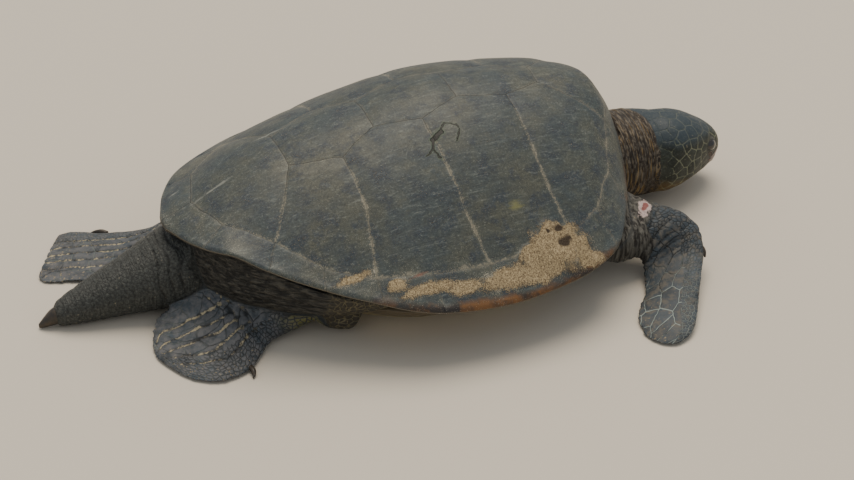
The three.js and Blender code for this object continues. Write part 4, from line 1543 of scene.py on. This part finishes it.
    def caked(
        self, paint: Paint, colour: Socket, height: Socket, place: Socket, marks: Sockets, patches: Socket,
        dust: Socket,
    ) -> tuple[Socket, Socket, Socket]:
        """The crust of sand over the colour and the height, and its share."""
        put = paint.put
        fray = put("Math", {0: patches, 1: 0.9, 2: -0.45}, operation="MULTIPLY_ADD")
        fray = put("Math", {0: dust, 1: 1.5, 2: fray}, operation="MULTIPLY_ADD")
        fray = put("Math", {0: fray, 1: marks["X"]}, operation="ADD")
        crust = put("MapRange", {"Value": fray, "From Min": 1.06, "From Max": 1.18})
        pebbles = put("TexVoronoi", {"Vector": place, "Scale": 620}, "Color")
        grains = paint.coat(self.grain, self.sand, pebbles, 0.15, 0.9)
        # the dug pits in the crust are painted darker
        grains = paint.coat(grains, self.damp, marks["Z"], 0.45, 0.75, 0.9)
        colour = put("Mix", {0: crust, 6: colour, 7: grains}, 2, data_type="RGBA")
        lumps = put("TexNoise", {"Vector": place, "Scale": 330, "Detail": 4, "Roughness": 0.75})
        crusty = put("Math", {0: lumps, 1: 0.004, 2: 0.001}, operation="MULTIPLY_ADD")
        return colour, put("Math", {0: crusty, 1: crust, 2: height}, operation="MULTIPLY_ADD"), crust

    def banded(
        self, paint: Paint, colour: Socket, edges: Sockets, marks: Sockets, patches: Socket, clouds: Socket,
        place: Socket,
    ) -> Socket:
        """The ochre band at the rim, darkened as painted shade, with its dark patches and painted shade on
        its underside.
        """
        put = paint.put
        off = put("Math", {0: clouds, 1: -0.05, 2: 0.028}, operation="MULTIPLY_ADD")
        ahead = put("SeparateXYZ", {0: place})
        front = put("MapRange", {"Value": ahead, "From Min": 0.25, "From Max": 0.36, "To Max": 0.009})
        reach = put("Math", {0: edges["Y"], 1: off}, operation="ADD")
        reach = put("Math", {0: reach, 1: front}, operation="ADD")
        low = put("VectorMath", {0: place, 1: (-0.12, 0, 1)}, "Value", operation="DOT_PRODUCT")
        low = put("MapRange", {"Value": low, "From Min": 0.16, "From Max": 0.135})
        # the band's ochre and brown are darkened as painted shade
        band = paint.coat(self.brown, self.ochre, patches, 0.42, 0.6)
        blot = put("TexNoise", {"Vector": place, "Scale": 24, "Detail": 3})
        band = paint.coat(band, self.black, blot, 0.5, 0.55, 0.9)
        colour = paint.coat(colour, band, reach, 0.019, 0.009, by=low)
        # painted shade: the underside of each rim plate is painted dark
        colour = paint.coat(colour, self.under, marks["Y"], 0.55, 0.45, 0.85)
        level = put("Math", {0: marks["Y"], 1: 0.2, 2: 0.14}, operation="COMPARE")
        return paint.coat(colour, self.edge, edges["Y"], 0.0008, 0.0004, 0.5, level)

    def cracked(self, paint: Paint, colour: Socket, height: Socket, place: Socket) -> tuple[Socket, Socket]:
        """The old crack, as a dark jagged line that opens a little at its middle."""
        put = paint.put
        wander = put("TexNoise", {"Vector": place, "Scale": 90, "Detail": 4}, "Color")
        wander = put("VectorMath", {0: wander, 1: (0.5, 0.5, 0.5)}, operation="SUBTRACT")
        off = put("VectorMath", {0: wander, 1: (0.011, 0.011, 0.011)}, operation="MULTIPLY")
        at = put("VectorMath", {0: place, 1: off}, operation="ADD")
        nearest: Socket | float = 9.0
        for start, end, wide in self.crack:
            run = (Vector(end) - Vector(start)) * MM
            away = put("VectorMath", {0: at, 1: Vector(start) * MM}, operation="SUBTRACT")
            share = {0: away, 1: run / run.length_squared}
            share = put("Clamp", {0: put("VectorMath", share, "Value", operation="DOT_PRODUCT")})
            foot = put("VectorMath", {0: run, "Scale": share}, operation="SCALE")
            gap = put("VectorMath", {0: away, 1: foot}, "Value", operation="DISTANCE")
            gap = put("Math", {0: gap, 1: wide * MM}, operation="DIVIDE")
            nearest = put("Math", {0: gap, 1: nearest}, operation="MINIMUM")
        colour = paint.coat(colour, self.chipped, nearest, 2.6, 1.6, 0.55)
        open_to = put("MapRange", {"Value": nearest, "From Min": 1.25, "From Max": 0.8})
        colour = put("Mix", {0: open_to, 6: colour, 7: srgb(self.split)}, 2, data_type="RGBA")
        return colour, put("Math", {0: open_to, 1: -0.003, 2: height}, operation="MULTIPLY_ADD")


@dataclass(frozen=True)
class Ground:
    """What all parts of the skin's finish read: places kept on the mesh, and noises over it."""

    place: Socket
    flow: Socket
    flat: Socket
    stir: Socket
    clouds: Socket
    fine: Socket
    creases: Socket
    ways: Sockets
    zone: Sockets
    limb: Sockets
    scute: Sockets

    @classmethod
    def laid(cls, paint: Paint) -> "Ground":
        """All of it, as nodes of one material."""
        put = paint.put
        place = put("TexCoord", out="Object")
        flow, zone, limb, scute = (
            put("Attribute", out="Vector", attribute_name=name) for name in ("flow", "zone", "limb", "scute")
        )
        flat = put("VectorMath", {0: flow, 1: (1, 1, 0)}, operation="MULTIPLY")
        stir = put("TexNoise", {"Vector": flat, "Scale": 55, "Detail": 2}, "Color")
        stir = put("VectorMath", {0: stir, 1: (0.007, 0.007, 0)}, operation="MULTIPLY")
        return cls(
            place=place,
            flow=flow,
            flat=put("VectorMath", {0: flat, 1: stir}, operation="ADD"),
            stir=stir,
            clouds=put("TexNoise", {"Vector": place, "Scale": 16, "Detail": 5, "Roughness": 0.6}),
            fine=put("TexNoise", {"Vector": place, "Scale": 210, "Detail": 5, "Roughness": 0.65}),
            creases=put("TexNoise", {"Vector": place, "Scale": 75, "Detail": 4, "Roughness": 0.6}),
            ways=put("SeparateXYZ", {0: flow}).node.outputs,
            zone=put("SeparateXYZ", {0: zone}).node.outputs,
            limb=put("SeparateXYZ", {0: limb}).node.outputs,
            scute=put("SeparateXYZ", {0: scute}).node.outputs,
        )


@dataclass(frozen=True)
class TurtleSkin:
    """Leathery skin: scaled flippers, a wrinkled ochre-flecked neck and a head of dark scutes with pale gaps.

    Sizes are in millimetres.
    """

    name: str = "turtle_skin"
    slate: str = "3b444c"
    blue: str = "46515a"
    dark: str = "1c2022"
    hind: str = "6a6a6c"
    line: str = "9ba6a2"
    # fold: painted shade laid into the skin's creases
    fold: str = "121516"
    caught: str = "b0a588"
    knee: str = "6f6c38"
    neck: str = "2f2720"
    ochre: str = "9c7f49"
    grey: str = "6f685d"
    furrow_shade: str = "15110e"
    flank: tuple[str, str, str] = ("211f1b", "413d34", "7d7558")
    # rear: grey-brown skin behind the hip, darkened as painted shade under the shell; the last colour is
    # painted shade in its creases
    rear: tuple[str, str, str] = ("1c1c1b", "4f4d46", "0f0f0f")
    armpit: tuple[str, str] = ("24211e", "66645d")
    crown: str = "2f3b43"
    cheek: tuple[str, str] = ("20251f", "2e342e")
    scuffed: str = "59605c"
    lids: str = "4a4a46"
    outline: str = "92957a"
    throat: str = "5e4c2b"
    # the last tail colour is painted shade for the creases
    tail: tuple[str, str, str, str] = ("282a29", "4b4e4b", "151616", "101111")
    raw: tuple[str, str] = ("cdb9b4", "7c2f29")
    dust: str = "ab9771"
    small: float = 8
    large: float = 30
    wrinkle: float = 3.9

    def material(self) -> bpy.types.Material:
        """The finish as a material."""
        paint = Paint(self.name)
        put = paint.put
        ground = Ground.laid(paint)
        colour, dome, gap, in_gap = self.flippers(paint, ground)
        colour = self.creased(paint, ground, colour, gap)
        round_it = (1000 / self.wrinkle, 24, 0)
        round_it = put("VectorMath", {0: ground.flow, 1: round_it}, operation="MULTIPLY")
        run = {"Vector": round_it, "Scale": 1, "Detail": 3, "Roughness": 0.55, "Distortion": 0.5}
        wrinkles = put("TexNoise", run)
        colour, height = self.necked(paint, ground, colour, dome, wrinkles)
        colour, height = self.flanked(paint, ground, colour, height)
        colour, height = self.tailed(paint, ground, colour, height, dome, in_gap, wrinkles)
        colour, height = self.headed(paint, ground, colour, height)
        height = put("Math", {0: ground.creases, 1: 0.0012, 2: height}, operation="MULTIPLY_ADD")
        height = put("Math", {0: ground.fine, 1: 0.0006, 2: height}, operation="MULTIPLY_ADD")
        colour = self.rubbed(paint, ground, colour)
        shine = {"Value": ground.creases, "From Min": 0.3, "From Max": 0.7, "To Min": 0.46, "To Max": 0.68}
        bump = put("Bump", {"Height": height, "Distance": 1.0, "Strength": 0.9})
        shader = {"Base Color": colour, "Roughness": put("MapRange", shine), "Normal": bump}
        put("OutputMaterial", {"Surface": put("BsdfPrincipled", {**shader, "Specular IOR Level": 0.36})})
        return paint.material

    @staticmethod
    def scales(
        paint: Paint, ground: Ground, size: float, stretch: tuple[float, float, float]
    ) -> tuple[Socket, Socket]:
        """Distance to the gap between scales in metres, and a tone for each scale."""
        put = paint.put
        laid = put("VectorMath", {0: ground.flat, 1: stretch}, operation="MULTIPLY")
        scale = {"Vector": laid, "Scale": 1000 / size, "Randomness": 0.85}
        gap = put("TexVoronoi", scale, feature="DISTANCE_TO_EDGE", voronoi_dimensions="2D")
        gap = put("Math", {0: gap, 1: size * MM}, operation="MULTIPLY")
        return gap, put("TexVoronoi", scale, "Color", voronoi_dimensions="2D")

    def flippers(self, paint: Paint, ground: Ground) -> tuple[Socket, Socket, Socket, Socket]:
        """Scales: big ones towards a flipper's trailing edge, small ones towards its leading edge.

        Args:
            paint: The material.
            ground: What its parts share.

        Returns:
            The colour, the scales' height, the distance to the gap between them, and the gap's share.
        """
        put, coat = paint.put, paint.coat
        ways, limb, clouds, creases = ground.ways, ground.limb, ground.clouds, ground.creases
        small_gap, small_tone = self.scales(paint, ground, self.small, (1, 1, 0))
        large_gap, large_tone = self.scales(paint, ground, self.large, (0.66, 1.05, 0))
        swap = put("Math", {0: clouds, 1: 0.3, 2: ways["Z"]}, operation="MULTIPLY_ADD")
        is_large = put("Math", {0: swap, 1: 0.46}, operation="GREATER_THAN")
        far = put("MapRange", {"Value": ways["X"], "From Min": 0.15, "From Max": 0.17})
        is_large = put("Math", {0: is_large, 1: far}, operation="MULTIPLY")
        on_limb = put("Math", {0: limb["X"], 1: limb["Y"]}, operation="ADD")
        on_limb = put("Math", {0: on_limb, 1: 0.5}, operation="GREATER_THAN")
        is_large = put("Math", {0: is_large, 1: on_limb}, operation="MULTIPLY")
        gap = put("Mix", {0: is_large, 2: small_gap, 3: large_gap}, 0)
        tone = put("Mix", {0: is_large, 6: small_tone, 7: large_tone}, 2, data_type="RGBA")
        width = put("MapRange", {"Value": is_large, "To Min": 0.001, "To Max": 0.0012})
        in_gap = put("MapRange", {"Value": gap, "From Min": width, "From Max": 0.0004})
        colour = coat(self.slate, self.blue, tone, 0.2, 0.8)
        colour = coat(colour, self.dark, clouds, 0.6, 0.42, 0.45)
        colour = coat(colour, self.grey, creases, 0.46, 0.64, 0.6, limb["X"])
        colour = coat(colour, self.hind, creases, 0.36, 0.62, 0.75, limb["Y"])
        pale = put("MapRange", {"Value": ways["X"], "From Min": 0.2, "From Max": 0.33})
        for worn in (
            {"Value": clouds, "From Min": 0.36, "From Max": 0.46},
            {"Value": is_large, "To Min": 0.45},
            {"Value": limb["Y"], "To Min": 1.0, "To Max": 0.35},
        ):
            pale = put("Math", {0: pale, 1: put("MapRange", worn)}, operation="MULTIPLY")
        lines = put("Mix", {0: pale, 6: srgb(self.dark), 7: srgb(self.line)}, 2, data_type="RGBA")
        in_gap = put("Math", {0: in_gap, 1: 0.8}, operation="MULTIPLY")
        colour = put("Mix", {0: in_gap, 6: colour, 7: lines}, 2, data_type="RGBA")
        dome = {"Value": gap, "From Min": 0, "From Max": 0.002, "To Max": 0.001}
        return colour, put("MapRange", dome, interpolation_type="SMOOTHSTEP"), gap, in_gap

    def creased(self, paint: Paint, ground: Ground, colour: Socket, gap: Socket) -> Socket:
        """Painted shade in the creases, sand caught along the hind flippers' rays, and a yellow-green knee.
        """
        put, coat = paint.put, paint.coat
        ways, limb, deep = ground.ways, ground.limb, ground.scute["Z"]
        # painted shade: the skin darkens with how deep it lies in a crease
        colour = coat(colour, self.fold, deep, 0.3, 0.65, 0.8)
        caught = put("Math", {0: ground.fine, 1: 0.9, 2: deep}, operation="MULTIPLY_ADD")
        patchy = put("Math", {0: ground.creases, 1: 0.8, 2: ground.clouds}, operation="MULTIPLY_ADD")
        patchy = put("MapRange", {"Value": patchy, "From Min": 0.84, "From Max": 0.96, "To Max": 0.85})
        outer = put("MapRange", {"Value": ways["X"], "From Min": 0.17, "From Max": 0.22})
        share = put("Math", {0: patchy, 1: outer}, operation="MULTIPLY")
        share = put("Math", {0: share, 1: limb["Y"]}, operation="MULTIPLY")
        colour = coat(colour, self.caught, caught, 0.92, 1.06, by=share)
        low = put("MapRange", {"Value": ways["Z"], "From Min": 0.42, "From Max": 0.25, "To Max": 0.75})
        low = put("Math", {0: low, 1: limb["Y"]}, operation="MULTIPLY")
        on_scale = put("MapRange", {"Value": gap, "From Min": 0.0006, "From Max": 0.0016})
        low = put("Math", {0: low, 1: on_scale}, operation="MULTIPLY")
        return coat(colour, self.knee, ways["X"], 0.15, 0.11, by=low)

    def necked(
        self, paint: Paint, ground: Ground, colour: Socket, dome: Socket, wrinkles: Socket
    ) -> tuple[Socket, Socket]:
        """The neck over the colour and the height, with wrinkles that run round it and painted shade in their
        furrows.
        """
        put, coat = paint.put, paint.coat
        flecks = put("VectorMath", {0: ground.flow, 1: (260, 70, 0)}, operation="MULTIPLY")
        flecks = put("TexNoise", {"Vector": flecks, "Scale": 1, "Detail": 4, "Roughness": 0.7})
        neck = coat(self.neck, self.grey, flecks, 0.47, 0.62)
        low = {"Value": ground.ways["Y"], "From Min": 0.24, "From Max": 0.06, "To Min": 0.35}
        neck = coat(neck, self.ochre, wrinkles, 0.54, 0.66, 0.8, put("MapRange", low))
        # painted shade: the neck darkens where its wrinkles sink into furrows
        neck = coat(neck, self.furrow_shade, wrinkles, 0.48, 0.36, 0.85)
        soft = put("MapRange", {"Value": ground.zone["X"], "From Min": 0.35, "From Max": 0.65})
        colour = put("Mix", {0: soft, 6: colour, 7: neck}, 2, data_type="RGBA")
        creased = put("Math", {0: wrinkles, 1: 0.0042}, operation="MULTIPLY")
        return colour, put("Mix", {0: soft, 2: dome, 3: creased}, 0)

    def flanked(self, paint: Paint, ground: Ground, colour: Socket, height: Socket) -> tuple[Socket, Socket]:
        """Flank and armpit: netted over the hip, in long folds behind it and hanging folds at the arm. The
        flank behind the hip, under the shell, is darkened with painted shade, most in its creases.

        Args:
            paint: The material.
            ground: What its parts share.
            colour: The colour so far.
            height: The height so far.

        Returns:
            The new colour and height.
        """
        put, coat = paint.put, paint.coat
        place, clouds, limb, ways = ground.place, ground.clouds, ground.limb, ground.ways
        wavy = put("VectorMath", {0: ground.stir, 1: (1.6, 1.6, 1.6)}, operation="MULTIPLY")
        wavy = put("VectorMath", {0: place, 1: wavy}, operation="ADD")
        net = put("TexVoronoi", {"Vector": wavy, "Scale": 88}, feature="DISTANCE_TO_EDGE")
        shade, light, mesh = self.flank
        flank = put("Mix", {0: clouds, 6: srgb(shade), 7: srgb(light)}, 2, data_type="RGBA")
        flank = coat(flank, mesh, net, 0.1, 0.03, 0.55)
        drawn = put("VectorMath", {0: place, 1: (14, 90, 210)}, operation="MULTIPLY")
        drawn = put("TexNoise", {"Vector": drawn, "Scale": 1, "Detail": 5, "Distortion": 0.5})
        # painted shade: the flank behind the hip is darkened under the shell, and more in its creases
        shade, light, dark = self.rear
        rear = coat(coat(shade, light, drawn, 0.42, 0.66), dark, ground.scute["Z"], 0.3, 0.65, 0.8)
        ahead = put("SeparateXYZ", {0: place}, "X")
        behind = put("Math", {0: clouds, 1: 0.05, 2: ahead}, operation="MULTIPLY_ADD")
        behind = put("MapRange", {"Value": behind, "From Min": -0.185, "From Max": -0.215})
        flank = put("Mix", {0: behind, 6: flank, 7: rear}, 2, data_type="RGBA")
        hanging = put("VectorMath", {0: place, 1: (170, 120, 16)}, operation="MULTIPLY")
        hanging = put("TexNoise", {"Vector": hanging, "Scale": 1, "Detail": 4, "Distortion": 0.4})
        armpit = coat(*self.armpit, hanging, 0.4, 0.62)
        ahead = put("MapRange", {"Value": ahead, "From Min": 0.08, "From Max": 0.2})
        flank = put("Mix", {0: ahead, 6: flank, 7: armpit}, 2, data_type="RGBA")
        bend = {"Value": ways["Z"], "From Min": 0.55, "From Max": 0.95, "To Min": 0.126, "To Max": 0.19}
        bend = put("Math", {0: clouds, 1: 0.02, 2: put("MapRange", bend)}, operation="MULTIPLY_ADD")
        shoulder = put("Math", {0: bend, 1: ways["X"]}, operation="SUBTRACT")
        shoulder = put("MapRange", {"Value": shoulder, "From Min": 0.008, "From Max": 0.014})
        shoulder = put("Math", {0: shoulder, 1: limb["X"]}, operation="MULTIPLY")
        loose = put("MapRange", {"Value": limb["Z"], "From Min": 0.35, "From Max": 0.65})
        loose = put("Math", {0: loose, 1: shoulder}, operation="MAXIMUM")
        colour = put("Mix", {0: loose, 6: colour, 7: flank}, 2, data_type="RGBA")
        netted = put("MapRange", {"Value": net, "From Min": 0, "From Max": 0.2, "To Max": 0.002})
        folded = put("Math", {0: drawn, 1: 0.012}, operation="MULTIPLY")
        hung = put("Math", {0: hanging, 1: 0.006}, operation="MULTIPLY")
        raised = put("Mix", {0: behind, 2: netted, 3: folded}, 0)
        raised = put("Mix", {0: ahead, 2: raised, 3: hung}, 0)
        return colour, put("Mix", {0: loose, 2: height, 3: raised}, 0)

    def tailed(
        self, paint: Paint, ground: Ground, colour: Socket, height: Socket, dome: Socket, in_gap: Socket,
        wrinkles: Socket,
    ) -> tuple[Socket, Socket]:
        """The tail over the colour and the height, in rings of small scales, with painted shade in its
        creases.
        """
        put, coat = paint.put, paint.coat
        share = put("MapRange", {"Value": ground.zone["Z"], "From Min": 0.35, "From Max": 0.65})
        shade, light, gap, dark = self.tail
        tail = coat(shade, light, ground.fine, 0.36, 0.64)
        tail = coat(tail, gap, in_gap, 0, 1, 0.5)
        # painted shade: the tail darkens in its creases
        tail = coat(tail, dark, ground.scute["Z"], 0.3, 0.65, 0.8)
        colour = put("Mix", {0: share, 6: colour, 7: tail}, 2, data_type="RGBA")
        ringed = put("Math", {0: dome, 1: 0.5}, operation="MULTIPLY")
        ringed = put("Math", {0: wrinkles, 1: 0.0038, 2: ringed}, operation="MULTIPLY_ADD")
        return colour, put("Mix", {0: share, 2: height, 3: ringed}, 0)

    def headed(self, paint: Paint, ground: Ground, colour: Socket, height: Socket) -> tuple[Socket, Socket]:
        """The head's scutes over the colour and the height."""
        put, coat = paint.put, paint.coat
        clouds, fine, scute = ground.clouds, ground.fine, ground.scute
        at = put("Attribute", out="Vector", attribute_name="skull")
        skull = put("SeparateXYZ", {0: at}).node.outputs
        up = put("Math", {0: clouds, 1: 0.02, 2: skull["Z"]}, operation="MULTIPLY_ADD")
        crown = put("MapRange", {"Value": up, "From Min": 0.04, "From Max": 0.056})
        shade, light = self.cheek
        plate = put("Mix", {0: scute["Y"], 6: srgb(shade), 7: srgb(light)}, 2, data_type="RGBA")
        plate = coat(plate, self.throat, up, -0.025, -0.045)
        plate = put("Mix", {0: crown, 6: plate, 7: srgb(self.crown)}, 2, data_type="RGBA")
        plate = coat(plate, self.scuffed, fine, 0.5, 0.72, 0.5)
        gap = put("Math", {0: fine, 1: 0.0016, 2: scute["X"]}, operation="MULTIPLY_ADD")
        faint = put("MapRange", {"Value": crown, "To Min": 0.85, "To Max": 0.3})
        forward = {"Value": skull["X"], "From Min": -0.175, "From Max": -0.158, "To Min": 0.3}
        faint = put("Math", {0: faint, 1: put("MapRange", forward)}, operation="MULTIPLY")
        plate = coat(plate, self.outline, gap, 0.0022, 0.0009, by=faint)
        eye = put("VectorMath", {0: at}, operation="ABSOLUTE")
        eye = put("VectorMath", {0: eye, 1: (0.05, 0.042, 0.012)}, "Value", operation="DISTANCE")
        plate = coat(plate, self.lids, eye, 0.021, 0.016, 0.8)
        head = put("Math", {0: fine, 1: clouds}, operation="ADD")
        head = put("Math", {0: head, 1: 0.7, 2: ground.zone["Y"]}, operation="MULTIPLY_ADD")
        head = put("MapRange", {"Value": head, "From Min": 1.05, "From Max": 1.35})
        colour = put("Mix", {0: head, 6: colour, 7: plate}, 2, data_type="RGBA")
        raised = {"Value": scute["X"], "From Max": 0.0022, "To Max": 0.0009}
        raised = put("MapRange", raised, interpolation_type="SMOOTHSTEP")
        return colour, put("Mix", {0: head, 2: height, 3: raised}, 0)

    def rubbed(self, paint: Paint, ground: Ground, colour: Socket) -> Socket:
        """A raw pink patch where the right arm rubs, and dry sand near the floor."""
        put = paint.put
        right = put("SeparateXYZ", {0: ground.place}, "Y")
        right = put("Math", {0: right, 1: 0.0}, operation="LESS_THAN")
        right = put("Math", {0: right, 1: ground.limb["X"]}, operation="MULTIPLY")
        spots = (((0.115, 0.034, 0), (0.0085, 0.025, 1)), ((0.1155, 0.029, 0), (0.0036, 0.012, 1)))
        for (middle, size), tint in zip(spots, self.raw):
            near = put("VectorMath", {0: ground.flow, 1: middle}, operation="SUBTRACT")
            near = put("VectorMath", {0: near, 1: size}, operation="DIVIDE")
            near = put("VectorMath", {0: near, 1: (1, 1, 0)}, operation="MULTIPLY")
            near = put("VectorMath", {0: near}, "Value", operation="LENGTH")
            near = put("Math", {0: ground.creases, 1: 2.4, 2: near}, operation="MULTIPLY_ADD")
            colour = paint.coat(colour, tint, near, 2.25, 2.0, 0.85, right)
        level = put("SeparateXYZ", {0: ground.place}, "Z")
        level = put("MapRange", {"Value": level, "From Min": 0.03, "From Max": 0.0, "To Max": 0.1})
        loose = put("Math", {0: ground.fine, 1: level}, operation="ADD")
        return paint.coat(colour, self.dust, loose, 0.66, 0.74, 0.7)


@dataclass(frozen=True)
class WornHorn:
    """Bare horn of the beak, the claws and the plastron, mottled in two tones, with painted shade above a
    given height where asked.
    """

    name: str
    colour: str
    second: str
    dark: str
    size: float
    roughness: float = 0.45
    # painted shade: darker above these heights, in millimetres
    shaded_above: tuple[float, float] | None = None

    def material(self) -> bpy.types.Material:
        """The finish as a material."""
        paint = Paint(self.name)
        put = paint.put
        place = put("TexCoord", out="Object")
        clouds = put("TexNoise", {"Vector": place, "Scale": 1000 / self.size, "Detail": 5, "Roughness": 0.65})
        fine = put("TexNoise", {"Vector": place, "Scale": 6000 / self.size, "Detail": 4})
        colour = paint.coat(self.colour, self.second, clouds, 0.4, 0.62)
        colour = paint.coat(colour, self.dark, fine, 0.6, 0.75, 0.6)
        # painted shade: darker above a given height, where the part lies under the shell's rim
        if self.shaded_above:
            level = put("SeparateXYZ", {0: place}, "Z")
            level = put("Math", {0: clouds, 1: 0.03, 2: level}, operation="MULTIPLY_ADD")
            low, high = (level_mm * MM for level_mm in self.shaded_above)
            colour = paint.coat(colour, self.dark, level, low, high, 0.92)
        bump = put("Bump", {"Height": fine, "Distance": 0.0006, "Strength": 0.7})
        shader = put("BsdfPrincipled", {"Base Color": colour, "Roughness": self.roughness, "Normal": bump})
        put("OutputMaterial", {"Surface": shader})
        return paint.material


@dataclass(frozen=True)
class WetEye:
    """A wet dark eye: brown iris round a black pupil, under a clear film."""

    name: str = "wet_eye"
    iris: str = "170e09"
    pupil: str = "050505"

    def material(self) -> bpy.types.Material:
        """The finish as a material."""
        paint = Paint(self.name)
        put = paint.put
        turned = put("Attribute", out="Fac", attribute_name="iris")
        colour = paint.coat(self.pupil, self.iris, turned, 0.42, 0.5)
        wet = {"Base Color": colour, "Roughness": 0.12, "Coat Weight": 1.0, "Coat Roughness": 0.03}
        put("OutputMaterial", {"Surface": put("BsdfPrincipled", wet)})
        return paint.material


@dataclass(frozen=True)
class Plain:
    """A plain finish."""

    name: str
    colour: str
    roughness: float = 0.5

    def material(self) -> bpy.types.Material:
        """The finish as a material."""
        paint = Paint(self.name)
        shader = paint.put("BsdfPrincipled", {"Base Color": srgb(self.colour), "Roughness": self.roughness})
        paint.put("OutputMaterial", {"Surface": shader})
        return paint.material


# ---------------------------------------------------------------- studio
@dataclass
class Studio:
    """A pale floor, soft light and the camera."""

    azimuth: float = -21.812
    elevation: float = 33.854
    distance: float = 4.2152
    focal_px: float = 2250.8
    target: tuple[float, float, float] = (0, 0, 0.15)
    target_px: tuple[float, float] = (393.17, 184.0)
    picture: tuple[float, float] = (854, 480)
    floor: float = 90
    sun_from: tuple[float, float, float] = (0.14, 0.34, 1.0)

    def build(self) -> None:
        """Puts all of it in the scene."""
        bm = bmesh.new()
        bmesh.ops.create_grid(bm, x_segments=1, y_segments=1, size=self.floor / MM / 2)
        ground = new_object("studio_floor", bm)
        ground.data.materials.append(Plain("studio_floor", "d4ccbe", 0.8).material())
        scene = bpy.context.scene
        scene.world = bpy.data.worlds.new("studio")
        scene.world.use_nodes = True
        sky = scene.world.node_tree.nodes["Background"]
        sky.inputs["Color"].default_value, sky.inputs["Strength"].default_value = srgb("eef1f4"), 0.6
        sun = bpy.data.objects.new("sun", bpy.data.lights.new("sun", "SUN"))
        sun.data.energy, sun.data.angle, sun.data.color = 2.5, math.radians(42), srgb("fff1dc")[:3]
        sun.rotation_euler = Vector(self.sun_from).to_track_quat("Z", "Y").to_euler()
        scene.collection.objects.link(sun)
        scene.camera = self.camera()

    def camera(self) -> bpy.types.Object:
        """The camera, aimed so that the target lies at its place in the picture."""
        a, e = math.radians(self.azimuth), math.radians(self.elevation)
        back = Vector((math.sin(a) * math.cos(e), -math.cos(a) * math.cos(e), math.sin(e)))
        right = Vector((math.cos(a), math.sin(a), 0))
        up = back.cross(right)
        made = bpy.data.objects.new("camera", bpy.data.cameras.new("camera"))
        made.matrix_world = Matrix((
            (right.x, up.x, back.x, 0), (right.y, up.y, back.y, 0), (right.z, up.z, back.z, 0), (0, 0, 0, 1),
        ))
        made.location = Vector(self.target) + back * self.distance
        width, height = self.picture
        made.data.sensor_width = 36
        made.data.lens = self.focal_px * 36 / width
        made.data.shift_x = (width / 2 - self.target_px[0]) / width
        made.data.shift_y = -(height / 2 - self.target_px[1]) / width
        made.data.clip_end = 100
        bpy.context.scene.collection.objects.link(made)
        return made


def settle(piece: bpy.types.Object, slot: str, finish: bpy.types.Material, *nodes: str) -> None:
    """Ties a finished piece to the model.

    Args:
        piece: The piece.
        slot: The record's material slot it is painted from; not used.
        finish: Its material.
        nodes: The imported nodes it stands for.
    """
    piece.data.materials.append(finish)
    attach(piece, BODY)
    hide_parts(*nodes)
    log.info("%s: %d faces", piece.name, len(piece.data.polygons))


def main() -> None:
    """Builds the turtle, the studio and the camera."""
    logging.basicConfig(level=logging.INFO, format="%(message)s")
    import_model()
    shell, plastron, head = Carapace(), Plastron(), Head()
    plan, cutter = PlatePlan(), PlateCutter(shell, Crust())
    plate_horn, rim_horn = ShellHorn("plate_horn", False).material(), ShellHorn("rim_horn", True).material()
    whole = [*plan.middle(), ("nuchal", plan.nuchal(shell))]
    for name, outline in [*whole, *plan.costals(Side.LEFT), *plan.costals(Side.RIGHT)]:
        settle(cutter.cut(f"{name}_plate", outline), "plate_horn", plate_horn, name)
    for side in Side:
        for name, node, outline in plan.rim_plates(side, shell):
            settle(cutter.cut(name, outline), "rim_horn", rim_horn, node)
    # the plastron's bridges under the rim are darkened above 40 mm as painted shade
    pale = WornHorn("plastron_horn", "c2b283", "a8935f", "3b3226", 60, shaded_above=(40, 75))
    settle(plastron.build(), "plastron_horn", pale.material(), "plastron")
    skin = Skin(shell, plastron, head).build()
    limbs = [f"{limb}_{side.word}" for side in Side for limb in LIMB_NODES]
    settle(skin, "dark_skin", TurtleSkin().material(), "trunk", "neck", "head", "tail", *limbs)
    beak = WornHorn("beak_horn", "6d655f", "857069", "35322e", 14, 0.4).material()
    for sheath in (
        Sheath(
            "upper_beak_sheath", Curve(((0, 4), (0.3, 0), (0.6, -5), (0.85, -11), (1, -16))),
            Curve(((0, -21), (0.25, -18), (1, -18.5))),
        ),
        Sheath(
            "lower_beak_sheath", Curve(((0, -22), (0.25, -19.5), (1, -20))),
            Curve(((0, -47), (0.4, -43), (0.75, -34), (1, -22.5))),
        ),
    ):
        settle(sheath.build(head, skin), "beak_horn", beak, sheath.name.removesuffix("_sheath"))
    horn = Horn()
    dark_horn = WornHorn("claw_horn", "2b2723", "40362a", "151311", 9, 0.38).material()
    for piece in [*horn.claws(), horn.tail_nail()]:
        settle(piece, "claw_horn", dark_horn, piece.name.removesuffix("_tip"))
    wet = WetEye().material()
    for side in Side:
        settle(horn.eye(head, side), "wet_eye", wet, f"eye_{side.word}")
    Studio().build()


if __name__ == "__main__":
    main()
